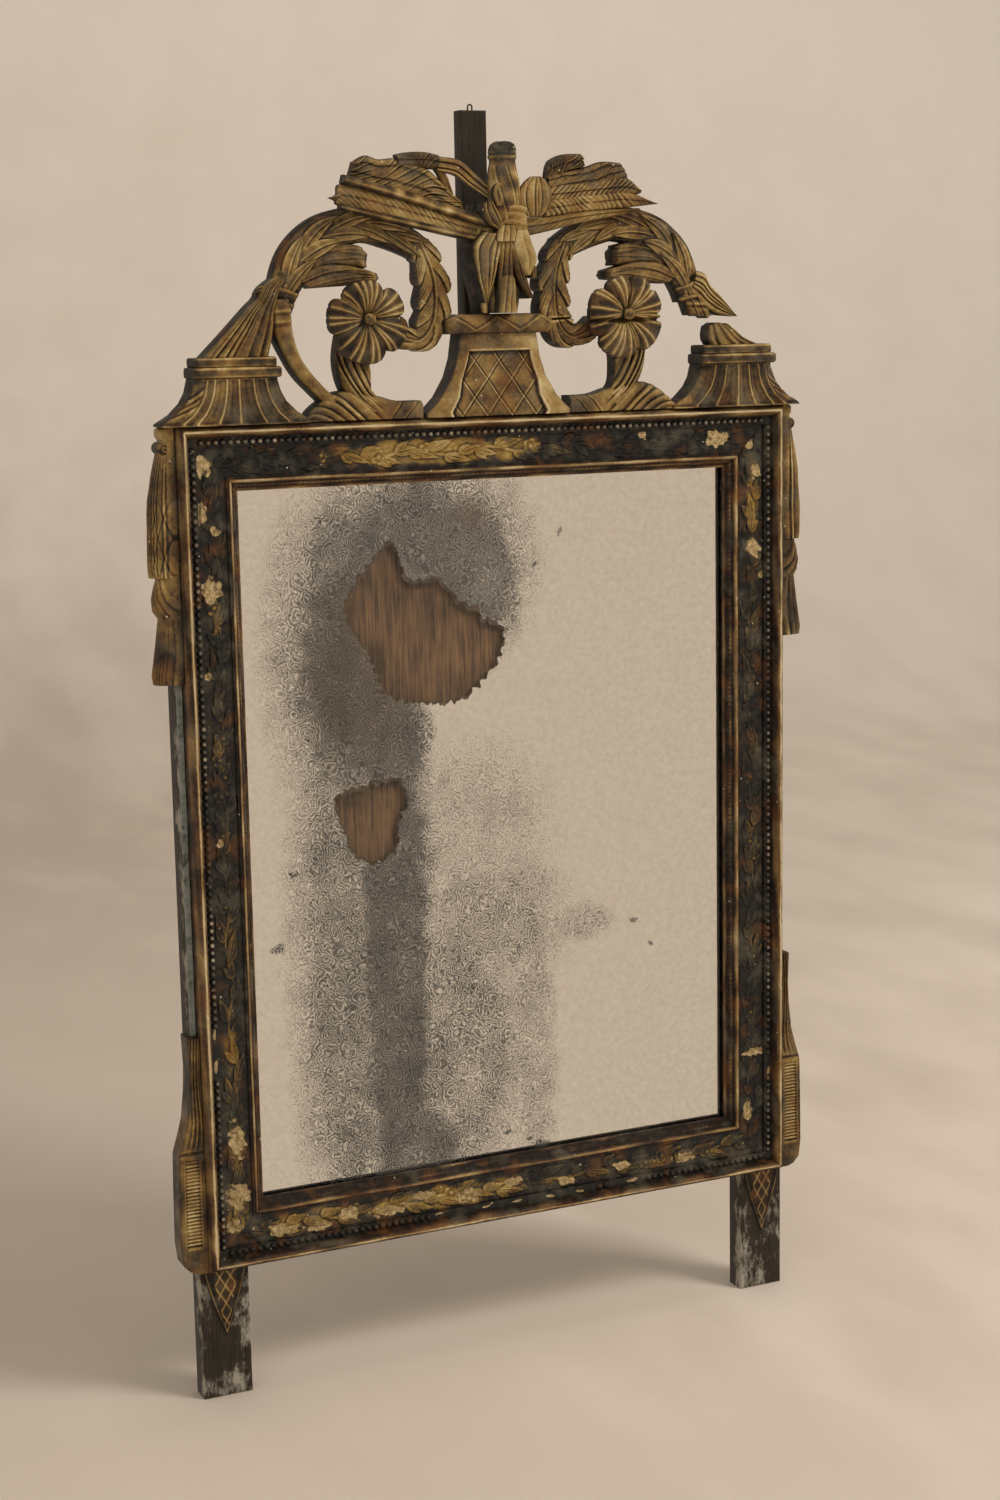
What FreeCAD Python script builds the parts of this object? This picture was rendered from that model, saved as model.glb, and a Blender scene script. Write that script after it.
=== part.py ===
import FreeCAD, Part
import math
import os

V = FreeCAD.Vector

# A carved and gilded wall mirror on two short legs.
# Working frame: x to the right from the middle, y from the sight edge back towards the wall,
# z up from the lower sight edge. Every piece is moved to the foot origin when it is written.

# Sight opening and the mouldings around it, from the glass outwards
SIGHT_W = 478.0
SIGHT_H = 634.5
SIGHT_MOULDING_W = 13.0
FRIEZE_W = 26.0
BEAD_STRIP_W = 7.0
RIM_W = 11.0

# How far the front faces stand forward of the sight edge
FRAME_FORWARD = 3.0
FRIEZE_FORWARD = 11.0
SIGHT_MOULDING_FORWARD = 12.5
BEAD_SEAT_FORWARD = 11.0
RIM_FORWARD = 22.0
RIM_EDGE_FORWARD = 12.0

# Beads
BEAD_D = 5.6
BEAD_CORE_D = 2.0
BEAD_PITCH = 6.6

# Back frame: two stiles that run down into legs, and two rails between them
STILE_T = 23.0
STILE_LEDGE = 6.0
LEG_DROP = 123.5
LEG_W = 46.0
TENON_T = 8.0
TENON_L = 36.0
TENON_SHOULDER = 8.0
PEG_D = 8.0

# Glass, silvering and back
SIGHT_LIP_T = 3.0
GLASS_LAP = 7.0
GLASS_CLEARANCE = 1.5
GLASS_T = 4.0
SILVER_T = 0.3
BLOCK_L = 32.0
BLOCK_W = 11.0
BOARD_T = 8.0
BOARD_LAP = 12.0
BOARD_CLEARANCE = 0.5
BOARD_COUNT = 3
NAIL_D = 2.4
NAIL_HEAD_D = 6.0
NAIL_HEAD_T = 1.2
NAIL_L = 18.0

# Hanging post behind the crest, and its wire staple
POST_W = 25.0
POST_T = 17.0
POST_RISE = 265.5
POST_LAP = 48.0
POST_CHAMFER = 3.0
POST_NAIL_L = 30.0
STAPLE_WIRE_D = 1.4
STAPLE_W = 4.2
STAPLE_RISE = 3.2
STAPLE_DEPTH = 18.0

# Crest: a carver's drawing, stretched to the corner pedestals and to the crest's height
CREST_RISE = 182.0
CREST_DRAWN_RISE = 182.0
CORNER_SET_IN = 53.0
CORNER_DRAWN_X = 243.0
CREST_FORWARD = 24.0
CREST_T = 24.0
ROSETTE_R = 39.0
ROSETTE_T = 11.0
ROSETTE_BOSS_R = 7.0
ROSETTE_BOSS_T = 4.0
PETALS = 6

# Corner pedestals
PEDESTAL_TOP_W = 74.0
PEDESTAL_BASE_W = 136.0
PEDESTAL_H = 39.5
PEDESTAL_FORWARD = 26.0
PEDESTAL_T = 28.0
COLLAR_H = 9.0
COLLAR_OVERHANG = 2.0
COLLAR_TOP_H = 8.0
COLLAR_TOP_INSET = 3.0
FLUTE_D = 9.0
FLUTE_DEPTH = 2.5
FLUTES = 5

# Centre pedestal, its cap and the trophy on it
CENTRE_TOP_W = 74.0
CENTRE_BASE_W = 140.0
CENTRE_H = 71.5
CENTRE_FORWARD = 26.0
CENTRE_T = 24.0
CAP_W = 106.0
CAP_H = 17.0
CAP_FORWARD = 34.0
CAP_T = 34.0
TROPHY_FORWARD = 50.0
TROPHY_T = 44.0
QUIVER_R = 13.0
QUIVER_MOUTH_R = 15.0
QUIVER_LIP_STEP = 1.0
QUIVER_AXIS_FORWARD = 34.0
QUIVER_AXIS_X = 1.5
QUIVER_FOOT = 174.0
QUIVER_TOP = 235.5
FEATHER_T = 14.0
RIBBON_T = 10.0
RIBBON_LOOP_R = 17.0
SPACER_W = 18.0
SPACER_LOW = 124.0
SPACER_HIGH = 158.0

# Side carvings on the stiles
DROP_FORWARD = 13.0
DROP_BACK = 10.0
ROLL_R = 10.0
CONSOLE_H = 217.0
CONSOLE_REACH = 22.0
CONSOLE_NECK = 13.0
CONSOLE_FORWARD = 12.5
PANEL_DEPTH = 2.5
PANEL_MARGIN = 5.0
PANEL_H = 80.0

# Levels and edges worked out from the driving dimensions
BORDER = SIGHT_MOULDING_W + FRIEZE_W + BEAD_STRIP_W + RIM_W
SIGHT_X = SIGHT_W / 2
RIM_X = SIGHT_X + BORDER
STILE_X = RIM_X + STILE_LEDGE
FRAME_TOP = SIGHT_H + BORDER
FRAME_BOTTOM = -BORDER
FOOT_Z = FRAME_BOTTOM - LEG_DROP
FRAME_FRONT = -FRAME_FORWARD
FRAME_BACK = FRAME_FRONT + STILE_T
INNER_X = SIGHT_X + GLASS_LAP
INNER_LOW = -GLASS_LAP
INNER_HIGH = SIGHT_H + GLASS_LAP
SILVER_FRONT = SIGHT_LIP_T + GLASS_T
BOARD_FRONT = FRAME_BACK - BOARD_T
POST_TOP = FRAME_TOP + POST_RISE
CORNER_X = RIM_X - CORNER_SET_IN
CREST_FRONT = -CREST_FORWARD
CREST_BACK = CREST_FRONT + CREST_T
TROPHY_FRONT = -TROPHY_FORWARD
TROPHY_BACK = TROPHY_FRONT + TROPHY_T
FEATHER_BACK = CREST_FRONT
FEATHER_FRONT = FEATHER_BACK - FEATHER_T
STRETCH_X = CORNER_X / CORNER_DRAWN_X
STRETCH_Z = CREST_RISE / CREST_DRAWN_RISE
BEYOND = 5.0
TO_FOOT_ORIGIN = V(0, (TROPHY_FORWARD - FRAME_BACK - POST_T) / 2, -FOOT_Z)


# Building blocks


def box(x0, x1, y0, y1, z0, z1):
    return Part.makeBox(x1 - x0, y1 - y0, z1 - z0, V(x0, y0, z0))


def run_edge(points, y):
    ends = [V(x, y, z) for x, z in points]
    if len(ends) == 2:
        return Part.LineSegment(*ends).toShape()
    curve = Part.BSplineCurve()
    curve.interpolate(ends)
    return curve.toShape()


def plate(runs, front, back):
    """A board with the outline given by runs of points: two make a line, more make a curve."""
    wire = Part.Wire([run_edge(points, front) for points in runs])
    return Part.Face(wire).extrude(V(0, back - front, 0))


def polygon_plate(points, front, back):
    return plate([[a, b] for a, b in zip(points, points[1:] + points[:1])], front, back)


def loop_plate(points, front, back):
    """A board with one smooth closed outline."""
    curve = Part.BSplineCurve()
    curve.interpolate([V(x, front, z) for x, z in points], PeriodicFlag=True)
    return Part.Face(Part.Wire(curve.toShape())).extrude(V(0, back - front, 0))


def band(stations, front, back):
    """A leaf or branch: stations of x, z and half width along its middle line."""
    left = []
    right = []
    last = len(stations) - 1
    for i, (x, z, half) in enumerate(stations):
        ahead = stations[min(i + 1, last)]
        behind = stations[max(i - 1, 0)]
        dx = ahead[0] - behind[0]
        dz = ahead[1] - behind[1]
        scale = half / math.hypot(dx, dz)
        left.append((x - dz * scale, z + dx * scale))
        right.append((x + dz * scale, z - dx * scale))
    right.reverse()
    return plate([left, [left[-1], right[0]], right, [right[-1], left[0]]], front, back)


def mirrored(shape):
    return shape.mirror(V(0, 0, 0), V(1, 0, 0))


def main_solid(shape):
    """The piece that is left of a carving once its neighbours are cut out of it."""
    return max(shape.Solids, key=lambda solid: solid.Volume)


def drawn(points):
    """Points of the carver's drawing: x from the middle, z above the frame, stretched to fit."""
    return [(p[0] * STRETCH_X, FRAME_TOP + p[1] * STRETCH_Z) + tuple(p[2:]) for p in points]


def rod(diameter, start, end):
    return Part.makeCylinder(diameter / 2, (end - start).Length, start, end - start)


# Back frame


def stile():
    """The right stile: the board, the leg below it, the rabbet for the back, mortises and peg holes."""
    board = box(INNER_X, STILE_X, FRAME_FRONT, FRAME_BACK, FRAME_BOTTOM, FRAME_TOP)
    leg = box(STILE_X - LEG_W, STILE_X, FRAME_FRONT, FRAME_BACK, FOOT_Z, FRAME_BOTTOM)
    rabbet = box(INNER_X - BEYOND, INNER_X + BOARD_LAP, BOARD_FRONT, FRAME_BACK + BEYOND,
                 INNER_LOW - BOARD_LAP, INNER_HIGH + BOARD_LAP)
    shape = board.fuse(leg).removeSplitter().cut(rabbet)
    for upper in (False, True):
        shape = shape.cut(tenon(upper)).cut(peg(upper))
    return shape


def tenon(upper):
    low, high = rail_span(upper)
    y = (FRAME_FRONT + BOARD_FRONT) / 2
    return box(INNER_X, INNER_X + TENON_L, y - TENON_T / 2, y + TENON_T / 2,
               low + TENON_SHOULDER, high - TENON_SHOULDER)


def rail_span(upper):
    if upper:
        return INNER_HIGH, FRAME_TOP
    return FRAME_BOTTOM, INNER_LOW


def peg(upper):
    low, high = rail_span(upper)
    x = INNER_X + (TENON_L + BOARD_LAP) / 2
    z = (low + high) / 2
    return rod(PEG_D, V(x, FRAME_FRONT, z), V(x, FRAME_BACK, z))


def rail(upper):
    low, high = rail_span(upper)
    shape = box(-INNER_X, INNER_X, FRAME_FRONT, FRAME_BACK, low, high)
    right = tenon(upper).cut(peg(upper))
    shape = shape.fuse([right, mirrored(right)])
    rabbet = box(-INNER_X - BEYOND, INNER_X + BEYOND, BOARD_FRONT, FRAME_BACK + BEYOND,
                 INNER_LOW - BOARD_LAP, INNER_HIGH + BOARD_LAP)
    return shape.removeSplitter().cut(rabbet)


def pegs():
    right = [peg(upper) for upper in (False, True)]
    return Part.makeCompound(right + [mirrored(one) for one in right])


# Mouldings, mitred at the corners


def section(points):
    """A moulding's section: points of distance out from the sight edge and height forward."""
    return [(out, -forward) for out, forward in points]


def sight_section():
    w = SIGHT_MOULDING_W
    h = SIGHT_MOULDING_FORWARD
    fillet = 0.10
    return section([
        (0, -SIGHT_LIP_T), (GLASS_LAP, -SIGHT_LIP_T), (GLASS_LAP, FRAME_FORWARD), (w, FRAME_FORWARD),
        (w, h), (0.80 * w, h), (0.76 * w, 0.86 * h), (0.62 * w, 0.78 * h), (0.54 * w, 0.62 * h),
        (0.54 * w, 0.54 * h), (0.42 * w, 0.50 * h), (0.30 * w, 0.36 * h), (0.22 * w, 0.18 * h),
        (0.20 * w, fillet * h), (0, fillet * h)])


def frieze_section():
    inner = SIGHT_MOULDING_W
    outer = inner + FRIEZE_W
    return section([(inner, FRAME_FORWARD), (outer, FRAME_FORWARD),
                    (outer, FRIEZE_FORWARD), (inner, FRIEZE_FORWARD)])


def bead_section():
    inner = SIGHT_MOULDING_W + FRIEZE_W
    outer = inner + BEAD_STRIP_W
    return section([(inner, FRAME_FORWARD), (outer, FRAME_FORWARD),
                    (outer, BEAD_SEAT_FORWARD), (inner, BEAD_SEAT_FORWARD)])


def rim_section():
    inner = BORDER - RIM_W
    rise = RIM_FORWARD - BEAD_SEAT_FORWARD
    edge = RIM_EDGE_FORWARD
    to_edge = RIM_FORWARD - edge
    return section([(inner, FRAME_FORWARD), (BORDER, FRAME_FORWARD), (BORDER, edge),
                    (BORDER - 0.08 * RIM_W, edge + 0.45 * to_edge),
                    (BORDER - 0.25 * RIM_W, edge + 0.82 * to_edge), (BORDER - 0.45 * RIM_W, RIM_FORWARD),
                    (BORDER - 0.62 * RIM_W, RIM_FORWARD - 0.04 * rise),
                    (inner + 0.12 * RIM_W, BEAD_SEAT_FORWARD + 0.35 * rise), (inner, BEAD_SEAT_FORWARD)])


def mitre_wedge(side):
    x = SIGHT_X
    far = RIM_X
    outlines = {
        "bottom": [(-x, 0), (x, 0), (far, -BORDER), (-far, -BORDER)],
        "top": [(-x, SIGHT_H), (x, SIGHT_H), (far, FRAME_TOP), (-far, FRAME_TOP)],
        "left": [(-x, 0), (-x, SIGHT_H), (-far, FRAME_TOP), (-far, -BORDER)],
        "right": [(x, 0), (x, SIGHT_H), (far, FRAME_TOP), (far, -BORDER)],
    }
    return polygon_plate(outlines[side], -RIM_FORWARD - BEYOND, FRAME_BACK)


def on_side(side, out, y, along):
    """A point on one side of the frame: distance out from the sight edge, depth, and place along it."""
    if side == "bottom":
        return V(along, y, -out)
    if side == "top":
        return V(along, y, SIGHT_H + out)
    if side == "left":
        return V(-SIGHT_X - out, y, along)
    return V(SIGHT_X + out, y, along)


def side_ends(side, out):
    """Where a line at this distance from the sight edge starts and ends along one side."""
    if side in ("bottom", "top"):
        return -SIGHT_X - out, SIGHT_X + out
    return -out, SIGHT_H + out


def moulding(side, points):
    start, end = side_ends(side, BORDER + BEYOND)
    corners = [on_side(side, out, y, start) for out, y in points]
    face = Part.Face(Part.makePolygon(corners + corners[:1]))
    length = on_side(side, 0, 0, end) - on_side(side, 0, 0, start)
    return face.extrude(length).common(mitre_wedge(side))


# Stretches of each bead row that are lost, as places along that side
LOST_BEADS = {
    "bottom": [(-80.0, 92.0), (108.0, 142.0)],
    "top": [],
    "left": [(122.0, 168.0)],
    "right": [(38.0, 62.0)],
}


def bead_string(side):
    """Beads turned on a thin core and split down the middle, with a part for each stretch left."""
    out = SIGHT_MOULDING_W + FRIEZE_W + BEAD_STRIP_W / 2
    start, end = side_ends(side, out - BEAD_D / 2)
    radius = BEAD_D / 2
    core = BEAD_CORE_D / 2
    shoulder = math.sqrt(radius ** 2 - core ** 2)
    count = int((end - start) / BEAD_PITCH)
    first = (start + end - (count - 1) * BEAD_PITCH) / 2
    places = [first + i * BEAD_PITCH for i in range(count)]
    stretches = [[]]
    for place in places:
        if any(low < place < high for low, high in LOST_BEADS[side]):
            if stretches[-1]:
                stretches.append([])
        else:
            stretches[-1].append(place)
    solids = []
    for stretch in stretches:
        if stretch:
            solids.append(half_turned(side, out, stretch, radius, core, shoulder))
    return solids


def half_turned(side, out, places, radius, core, shoulder):
    def at(along, height):
        return on_side(side, out, -BEAD_SEAT_FORWARD - height, along)

    edges = []
    begin = at(places[0] - shoulder, 0)
    finish = at(places[-1] + shoulder, 0)
    edges.append(Part.LineSegment(begin, at(places[0] - shoulder, core)).toShape())
    for i, place in enumerate(places):
        rise = at(place - shoulder, core)
        fall = at(place + shoulder, core)
        edges.append(Part.Arc(rise, at(place, radius), fall).toShape())
        if i + 1 < len(places):
            edges.append(Part.LineSegment(fall, at(places[i + 1] - shoulder, core)).toShape())
    edges.append(Part.LineSegment(at(places[-1] + shoulder, core), finish).toShape())
    edges.append(Part.LineSegment(finish, begin).toShape())
    face = Part.Face(Part.Wire(edges))
    axis = finish - begin
    quarter = 90
    face.rotate(begin, axis, -quarter)
    solid = face.revolve(begin, axis, 2 * quarter)
    if solid.BoundBox.YMax > -BEAD_SEAT_FORWARD + core:
        solid = face.revolve(begin, axis, -2 * quarter)
    return solid


def bead_strip(side):
    strip = moulding(side, bead_section())
    return strip.fuse(bead_string(side))


# Glass and back


def glass_plate():
    half = INNER_X - GLASS_CLEARANCE
    return box(-half, half, SIGHT_LIP_T, SILVER_FRONT,
               INNER_LOW + GLASS_CLEARANCE, INNER_HIGH - GLASS_CLEARANCE)


# Two places where the tin has come away from the glass: points as x from the middle and z up
LARGE_LOSS = [(-92, 584), (-82, 553), (-70, 547), (-50, 547), (-27, 524), (-12, 519), (-6, 508), (6, 505),
              (15, 490), (6, 467), (-15, 445), (-32, 434), (-62, 434), (-95, 440), (-110, 455), (-119, 482),
              (-133, 504), (-142, 520), (-137, 540), (-118, 563), (-103, 580)]
SMALL_LOSS = [(-98, 371), (-88, 361), (-87, 341), (-95, 325), (-94, 309), (-108, 297), (-125, 293),
              (-140, 305), (-147, 326), (-157, 350), (-149, 361), (-129, 365), (-114, 370)]
LOSS_DRAWN_W = 478.0
LOSS_DRAWN_H = 634.5


def silvering():
    half = INNER_X - GLASS_CLEARANCE
    shape = box(-half, half, SILVER_FRONT, SILVER_FRONT + SILVER_T,
                INNER_LOW + GLASS_CLEARANCE, INNER_HIGH - GLASS_CLEARANCE)
    for loss in (LARGE_LOSS, SMALL_LOSS):
        fitted = [(x * SIGHT_W / LOSS_DRAWN_W, z * SIGHT_H / LOSS_DRAWN_H) for x, z in loss]
        shape = shape.cut(loop_plate(fitted, SILVER_FRONT - SILVER_T, SILVER_FRONT + 2 * SILVER_T))
    return shape


def glazing_blocks():
    """Softwood blocks in the rabbet that keep the plate against the sight lip."""
    front = SILVER_FRONT + SILVER_T
    blocks = []
    for share in (0.2, 0.8):
        z = INNER_LOW + share * (INNER_HIGH - INNER_LOW)
        x = INNER_X * (2 * share - 1)
        upright = box(INNER_X - BLOCK_W, INNER_X, front, BOARD_FRONT, z - BLOCK_L / 2, z + BLOCK_L / 2)
        blocks += [upright, mirrored(upright)]
        for low in (INNER_LOW, INNER_HIGH - BLOCK_W):
            blocks.append(box(x - BLOCK_L / 2, x + BLOCK_L / 2, front, BOARD_FRONT, low, low + BLOCK_W))
    return Part.makeCompound(blocks)


def board_edges(index):
    half = INNER_X + BOARD_LAP - BOARD_CLEARANCE
    width = 2 * half / BOARD_COUNT
    return -half + index * width, -half + (index + 1) * width


def board_nails(index):
    left, right = board_edges(index)
    inset = (right - left) / 5
    nails = []
    for x in (left + inset, right - inset):
        for z in (INNER_LOW - BOARD_LAP / 2, INNER_HIGH + BOARD_LAP / 2):
            nails.append(nail(x, FRAME_BACK, z, NAIL_L))
    return nails


def nail(x, y, z, length):
    shank = rod(NAIL_D, V(x, y - length, z), V(x, y, z))
    return shank.fuse(rod(NAIL_HEAD_D, V(x, y, z), V(x, y + NAIL_HEAD_T, z)))


def all_board_nails():
    return [one for index in range(BOARD_COUNT) for one in board_nails(index)]


def backboard(index):
    left, right = board_edges(index)
    low = INNER_LOW - BOARD_LAP + BOARD_CLEARANCE
    high = INNER_HIGH + BOARD_LAP - BOARD_CLEARANCE
    return box(left, right, BOARD_FRONT, FRAME_BACK, low, high).cut(board_nails(index))


# Hanging post


def post_nails():
    back = FRAME_BACK + POST_T
    low = INNER_HIGH + BOARD_LAP
    spread = (FRAME_TOP - low) / 4
    return [nail(x, back - NAIL_HEAD_T, low + share * spread, POST_NAIL_L)
            for x, share in ((-POST_W / 5, 1), (POST_W / 5, 2), (-POST_W / 5, 3))]


def crest_post():
    half = POST_W / 2
    low = FRAME_TOP - POST_LAP
    cut = POST_CHAMFER
    outline = [(-half, low), (half, low), (half, POST_TOP - cut), (half - cut, POST_TOP),
               (-half + cut, POST_TOP), (-half, POST_TOP - cut)]
    shape = polygon_plate(outline, FRAME_BACK, FRAME_BACK + POST_T)
    return shape.cut(post_nails()).cut(hanging_staple())


def hanging_staple():
    y = FRAME_BACK + POST_T / 2
    half = STAPLE_W / 2
    foot = POST_TOP - STAPLE_DEPTH
    spring = POST_TOP + STAPLE_RISE
    path = Part.Wire([
        Part.LineSegment(V(-half, y, foot), V(-half, y, spring)).toShape(),
        Part.Arc(V(-half, y, spring), V(0, y, spring + half), V(half, y, spring)).toShape(),
        Part.LineSegment(V(half, y, spring), V(half, y, foot)).toShape()])
    profile = Part.Wire(Part.makeCircle(STAPLE_WIRE_D / 2, V(-half, y, foot), V(0, 0, 1)))
    return path.makePipeShell([profile], True, False)


# Crest carvings: stations and outlines of the carver's drawing, for the right half


ARC = [(199, 94.5, 11), (194, 113.5, 14), (182, 136.5, 17), (163, 154.5, 17), (140, 163.5, 16),
       (118, 165.5, 15), (97, 159.5, 14), (78, 150.5, 12), (66, 143.5, 11)]
ACANTHUS = [(70, 148, 10), (61, 128, 14), (58, 110, 15.5), (58.5, 93, 15), (63, 77, 14), (74, 67, 10),
            (88, 70, 9), (100, 78, 8)]
BRANCH = [(198, 97, 9), (197, 76.5, 9), (190, 56.5, 7), (181, 41.5, 6.5), (168, 27.5, 6), (156, 17, 6)]
HUSK = [(123, 150), (119, 131), (110, 117), (145, 116), (156, 113.5), (172, 113), (186, 120), (175, 136),
        (155, 149)]
FINIAL_OUTER = [(272, 56.5), (250, 77.5), (230, 97.5), (220, 106), (217, 113), (203, 124)]
FINIAL_INNER = [(203, 108.5), (206, 93.5), (206, 78.5), (210, 56.5)]
TORN_LEAF_OUTER = [(203, 124), (213, 121), (219, 111), (232, 99), (247, 82.5)]
TORN_LEAF_BREAK = [(247, 82.5), (221, 81.5), (209, 86.5), (197, 86.5), (197, 105)]
STUB_INNER = [(219, 56.5), (215.5, 66), (218, 76.5)]
STUB_OUTER = [(236, 76.5), (245, 70.5), (255, 62.5), (270, 56.5)]
STEM_OUTER = [(180, 0), (176, 9.5), (163, 20), (149, 26), (147, 40), (150, 58)]
STEM_INNER = [(117, 58), (118, 36), (110, 22), (95, 16), (76, 15), (70, 17)]
STEM_HEAD = [(150, 58), (140, 92), (112, 92), (117, 58)]
ROSETTE_CENTRE = (125, 86)


def arc():
    return band(drawn(ARC), CREST_FRONT, CREST_BACK)


def scroll(torn):
    shape = arc()
    if torn:
        outer = drawn(TORN_LEAF_OUTER)
        torn_edge = drawn(TORN_LEAF_BREAK) + outer[:1]
        runs = [outer] + [[a, b] for a, b in zip(torn_edge, torn_edge[1:])]
        leaf = plate(runs, CREST_FRONT, CREST_BACK)
        shape = main_solid(shape.fuse(leaf).removeSplitter())
    return shape


def branch():
    return main_solid(band(drawn(BRANCH), CREST_FRONT, CREST_BACK).cut(arc()))


def acanthus():
    return main_solid(band(drawn(ACANTHUS), CREST_FRONT, CREST_BACK).cut(arc()))


def husk():
    return main_solid(loop_plate(drawn(HUSK), CREST_FRONT, CREST_BACK).cut(arc()))


def finial():
    outer = drawn(FINIAL_OUTER)
    inner = drawn(FINIAL_INNER)
    runs = [outer, [outer[-1], inner[0]], inner, [inner[-1], outer[0]]]
    return main_solid(plate(runs, CREST_FRONT, CREST_BACK).cut([arc(), branch(), corner_pedestal()]))


def finial_stub():
    inner = drawn(STUB_INNER)
    outer = drawn(STUB_OUTER)
    runs = [inner, [inner[-1], outer[0]], outer, [outer[-1], inner[0]]]
    return main_solid(plate(runs, CREST_FRONT, CREST_BACK).cut(corner_pedestal()))


def stem(with_branch):
    outer = drawn(STEM_OUTER)
    inner = drawn(STEM_INNER)
    head = drawn(STEM_HEAD)
    foot = (inner[-1][0], FRAME_TOP)
    runs = [outer] + [[a, b] for a, b in zip(head, head[1:])] + [inner, [inner[-1], foot], [foot, outer[0]]]
    neighbours = [centre_pedestal(), corner_pedestal(), husk(), acanthus()]
    if with_branch:
        neighbours.append(branch())
    return main_solid(plate(runs, CREST_FRONT, CREST_BACK).cut(neighbours))


def rosette():
    """Six petals round a boss, seated on the front of the stem, the husk and the leaf's curl."""
    (x, z), = drawn([ROSETTE_CENTRE])
    step = 2 * math.pi / PETALS
    notch = 0.66 * ROSETTE_R

    def at(radius, angle):
        return V(x + radius * math.sin(angle), CREST_FRONT, z + radius * math.cos(angle))

    edges = []
    for i in range(PETALS):
        a = i * step
        edges.append(Part.Arc(at(notch, a), at(ROSETTE_R, a + step / 2), at(notch, a + step)).toShape())
    petals = Part.Face(Part.Wire(edges)).extrude(V(0, -ROSETTE_T, 0))
    top = CREST_FRONT - ROSETTE_T
    boss = Part.makeCone(ROSETTE_BOSS_R, 0.6 * ROSETTE_BOSS_R, ROSETTE_BOSS_T, V(x, top, z), V(0, -1, 0))
    return petals.fuse(boss)


# Pedestals


def flared_side(top_half, base_half, height):
    """The hollow side of a pedestal, from the top down to the base."""
    steps = ((0.0, 0.0), (0.30, 0.10), (0.52, 0.26), (0.76, 0.58), (0.95, 1.0), (1.0, 1.0))
    return [(top_half + (base_half - top_half) * out, height * (1 - down)) for down, out in steps]


def pedestal_body(top_w, base_w, height, front, back):
    side = flared_side(top_w / 2, base_w / 2, height)
    right = [(x, FRAME_TOP + z) for x, z in side[:-1]]
    left = [(-x, z) for x, z in reversed(right)]
    foot = [(side[-1][0], FRAME_TOP), (-side[-1][0], FRAME_TOP)]
    runs = [right, [right[-1], foot[0]], foot, [foot[1], left[0]], left, [left[-1], right[0]]]
    return plate(runs, front, back)


def round_fronted(half, front, back, low, high):
    radius = (high - low) / 2
    middle = (high + low) / 2
    core = box(-half, half, front + radius, back, low, high)
    return core.fuse(rod(2 * radius, V(-half, front + radius, middle), V(half, front + radius, middle)))


def corner_pedestal():
    """The right corner pedestal with its flutes and two-step collar, centred under the finial."""
    front = -PEDESTAL_FORWARD
    back = front + PEDESTAL_T
    shape = pedestal_body(PEDESTAL_TOP_W, PEDESTAL_BASE_W, PEDESTAL_H, front, back)
    pitch = PEDESTAL_TOP_W / (FLUTES + 1)
    top = FRAME_TOP + PEDESTAL_H
    axis = front - FLUTE_D / 2 + FLUTE_DEPTH
    for i in range(FLUTES):
        x = (i - (FLUTES - 1) / 2) * pitch
        shape = shape.cut(rod(FLUTE_D, V(x, axis, FRAME_TOP - BEYOND), V(x, axis, top)))
    half = PEDESTAL_TOP_W / 2 + COLLAR_OVERHANG
    lower = round_fronted(half, front - COLLAR_OVERHANG, back, top, top + COLLAR_H)
    upper = round_fronted(half - COLLAR_TOP_INSET, front + COLLAR_OVERHANG, back,
                          top + COLLAR_H, top + COLLAR_H + COLLAR_TOP_H)
    shape = shape.fuse([lower, upper])
    shape.translate(V(CORNER_X, 0, 0))
    return shape


def centre_pedestal():
    front = -CENTRE_FORWARD
    return pedestal_body(CENTRE_TOP_W, CENTRE_BASE_W, CENTRE_H, front, front + CENTRE_T)


def pedestal_cap():
    low = FRAME_TOP + CENTRE_H
    high = low + CAP_H
    half = CAP_W / 2
    right = [(half - 0.25 * CAP_H, low), (half, low + 0.28 * CAP_H),
             (half - 0.10 * CAP_H, low + 0.62 * CAP_H), (half - 0.55 * CAP_H, low + 0.92 * CAP_H),
             (half - 0.95 * CAP_H, high)]
    left = [(-x, z) for x, z in reversed(right)]
    runs = [right, [right[-1], left[0]], left, [left[-1], right[0]]]
    cap = plate(runs, -CAP_FORWARD, -CAP_FORWARD + CAP_T)
    return main_solid(cap.cut([acanthus(), mirrored(acanthus())]))


# Trophy: drapery, quiver, feathered arrows and ribbons


DRAPERY_LEFT = [(-19, 88.5), (-23, 108), (-28, 128), (-31, 146), (-25, 158), (-27, 170), (-21, 182)]
DRAPERY_RIGHT = [(16, 182), (22, 163), (26, 146), (30, 124), (23, 115), (24, 103), (17, 88.5)]
LEFT_FEATHER_LOWER = [(158, 187.5), (148, 180.5), (60, 160.5), (10, 150)]
LEFT_FEATHER_UPPER = [(10, 172), (41, 185.5), (55, 203), (58, 223), (71, 224.5), (95, 221), (112, 220),
                      (124, 223), (132, 218.5), (138, 206.5), (146, 200), (158, 187.5)]
RIGHT_FEATHER_LOWER = [(154, 182.5), (137, 175.5), (107, 173), (78, 165.5), (10, 152)]
RIGHT_FEATHER_UPPER = [(10, 172), (42, 200), (48, 220), (63, 225.5), (80, 226), (83, 215), (101, 219.5),
                       (120, 218.5), (126, 203), (139, 195), (154, 182.5)]
RIBBON = [(58, 216, 6), (41, 212.5, 6.5), (26, 202, 6), (10, 190, 5)]
RIBBON_LOOP = (33, 189)


def on_cap(points):
    """Trophy points follow the top of the cap, and keep the drawing's heights above it."""
    lift = CENTRE_H + CAP_H - drawn_cap_top()
    return [(x * STRETCH_X, FRAME_TOP + z + lift) for x, z in points]


def drawn_cap_top():
    return DRAPERY_LEFT[0][1]


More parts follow.
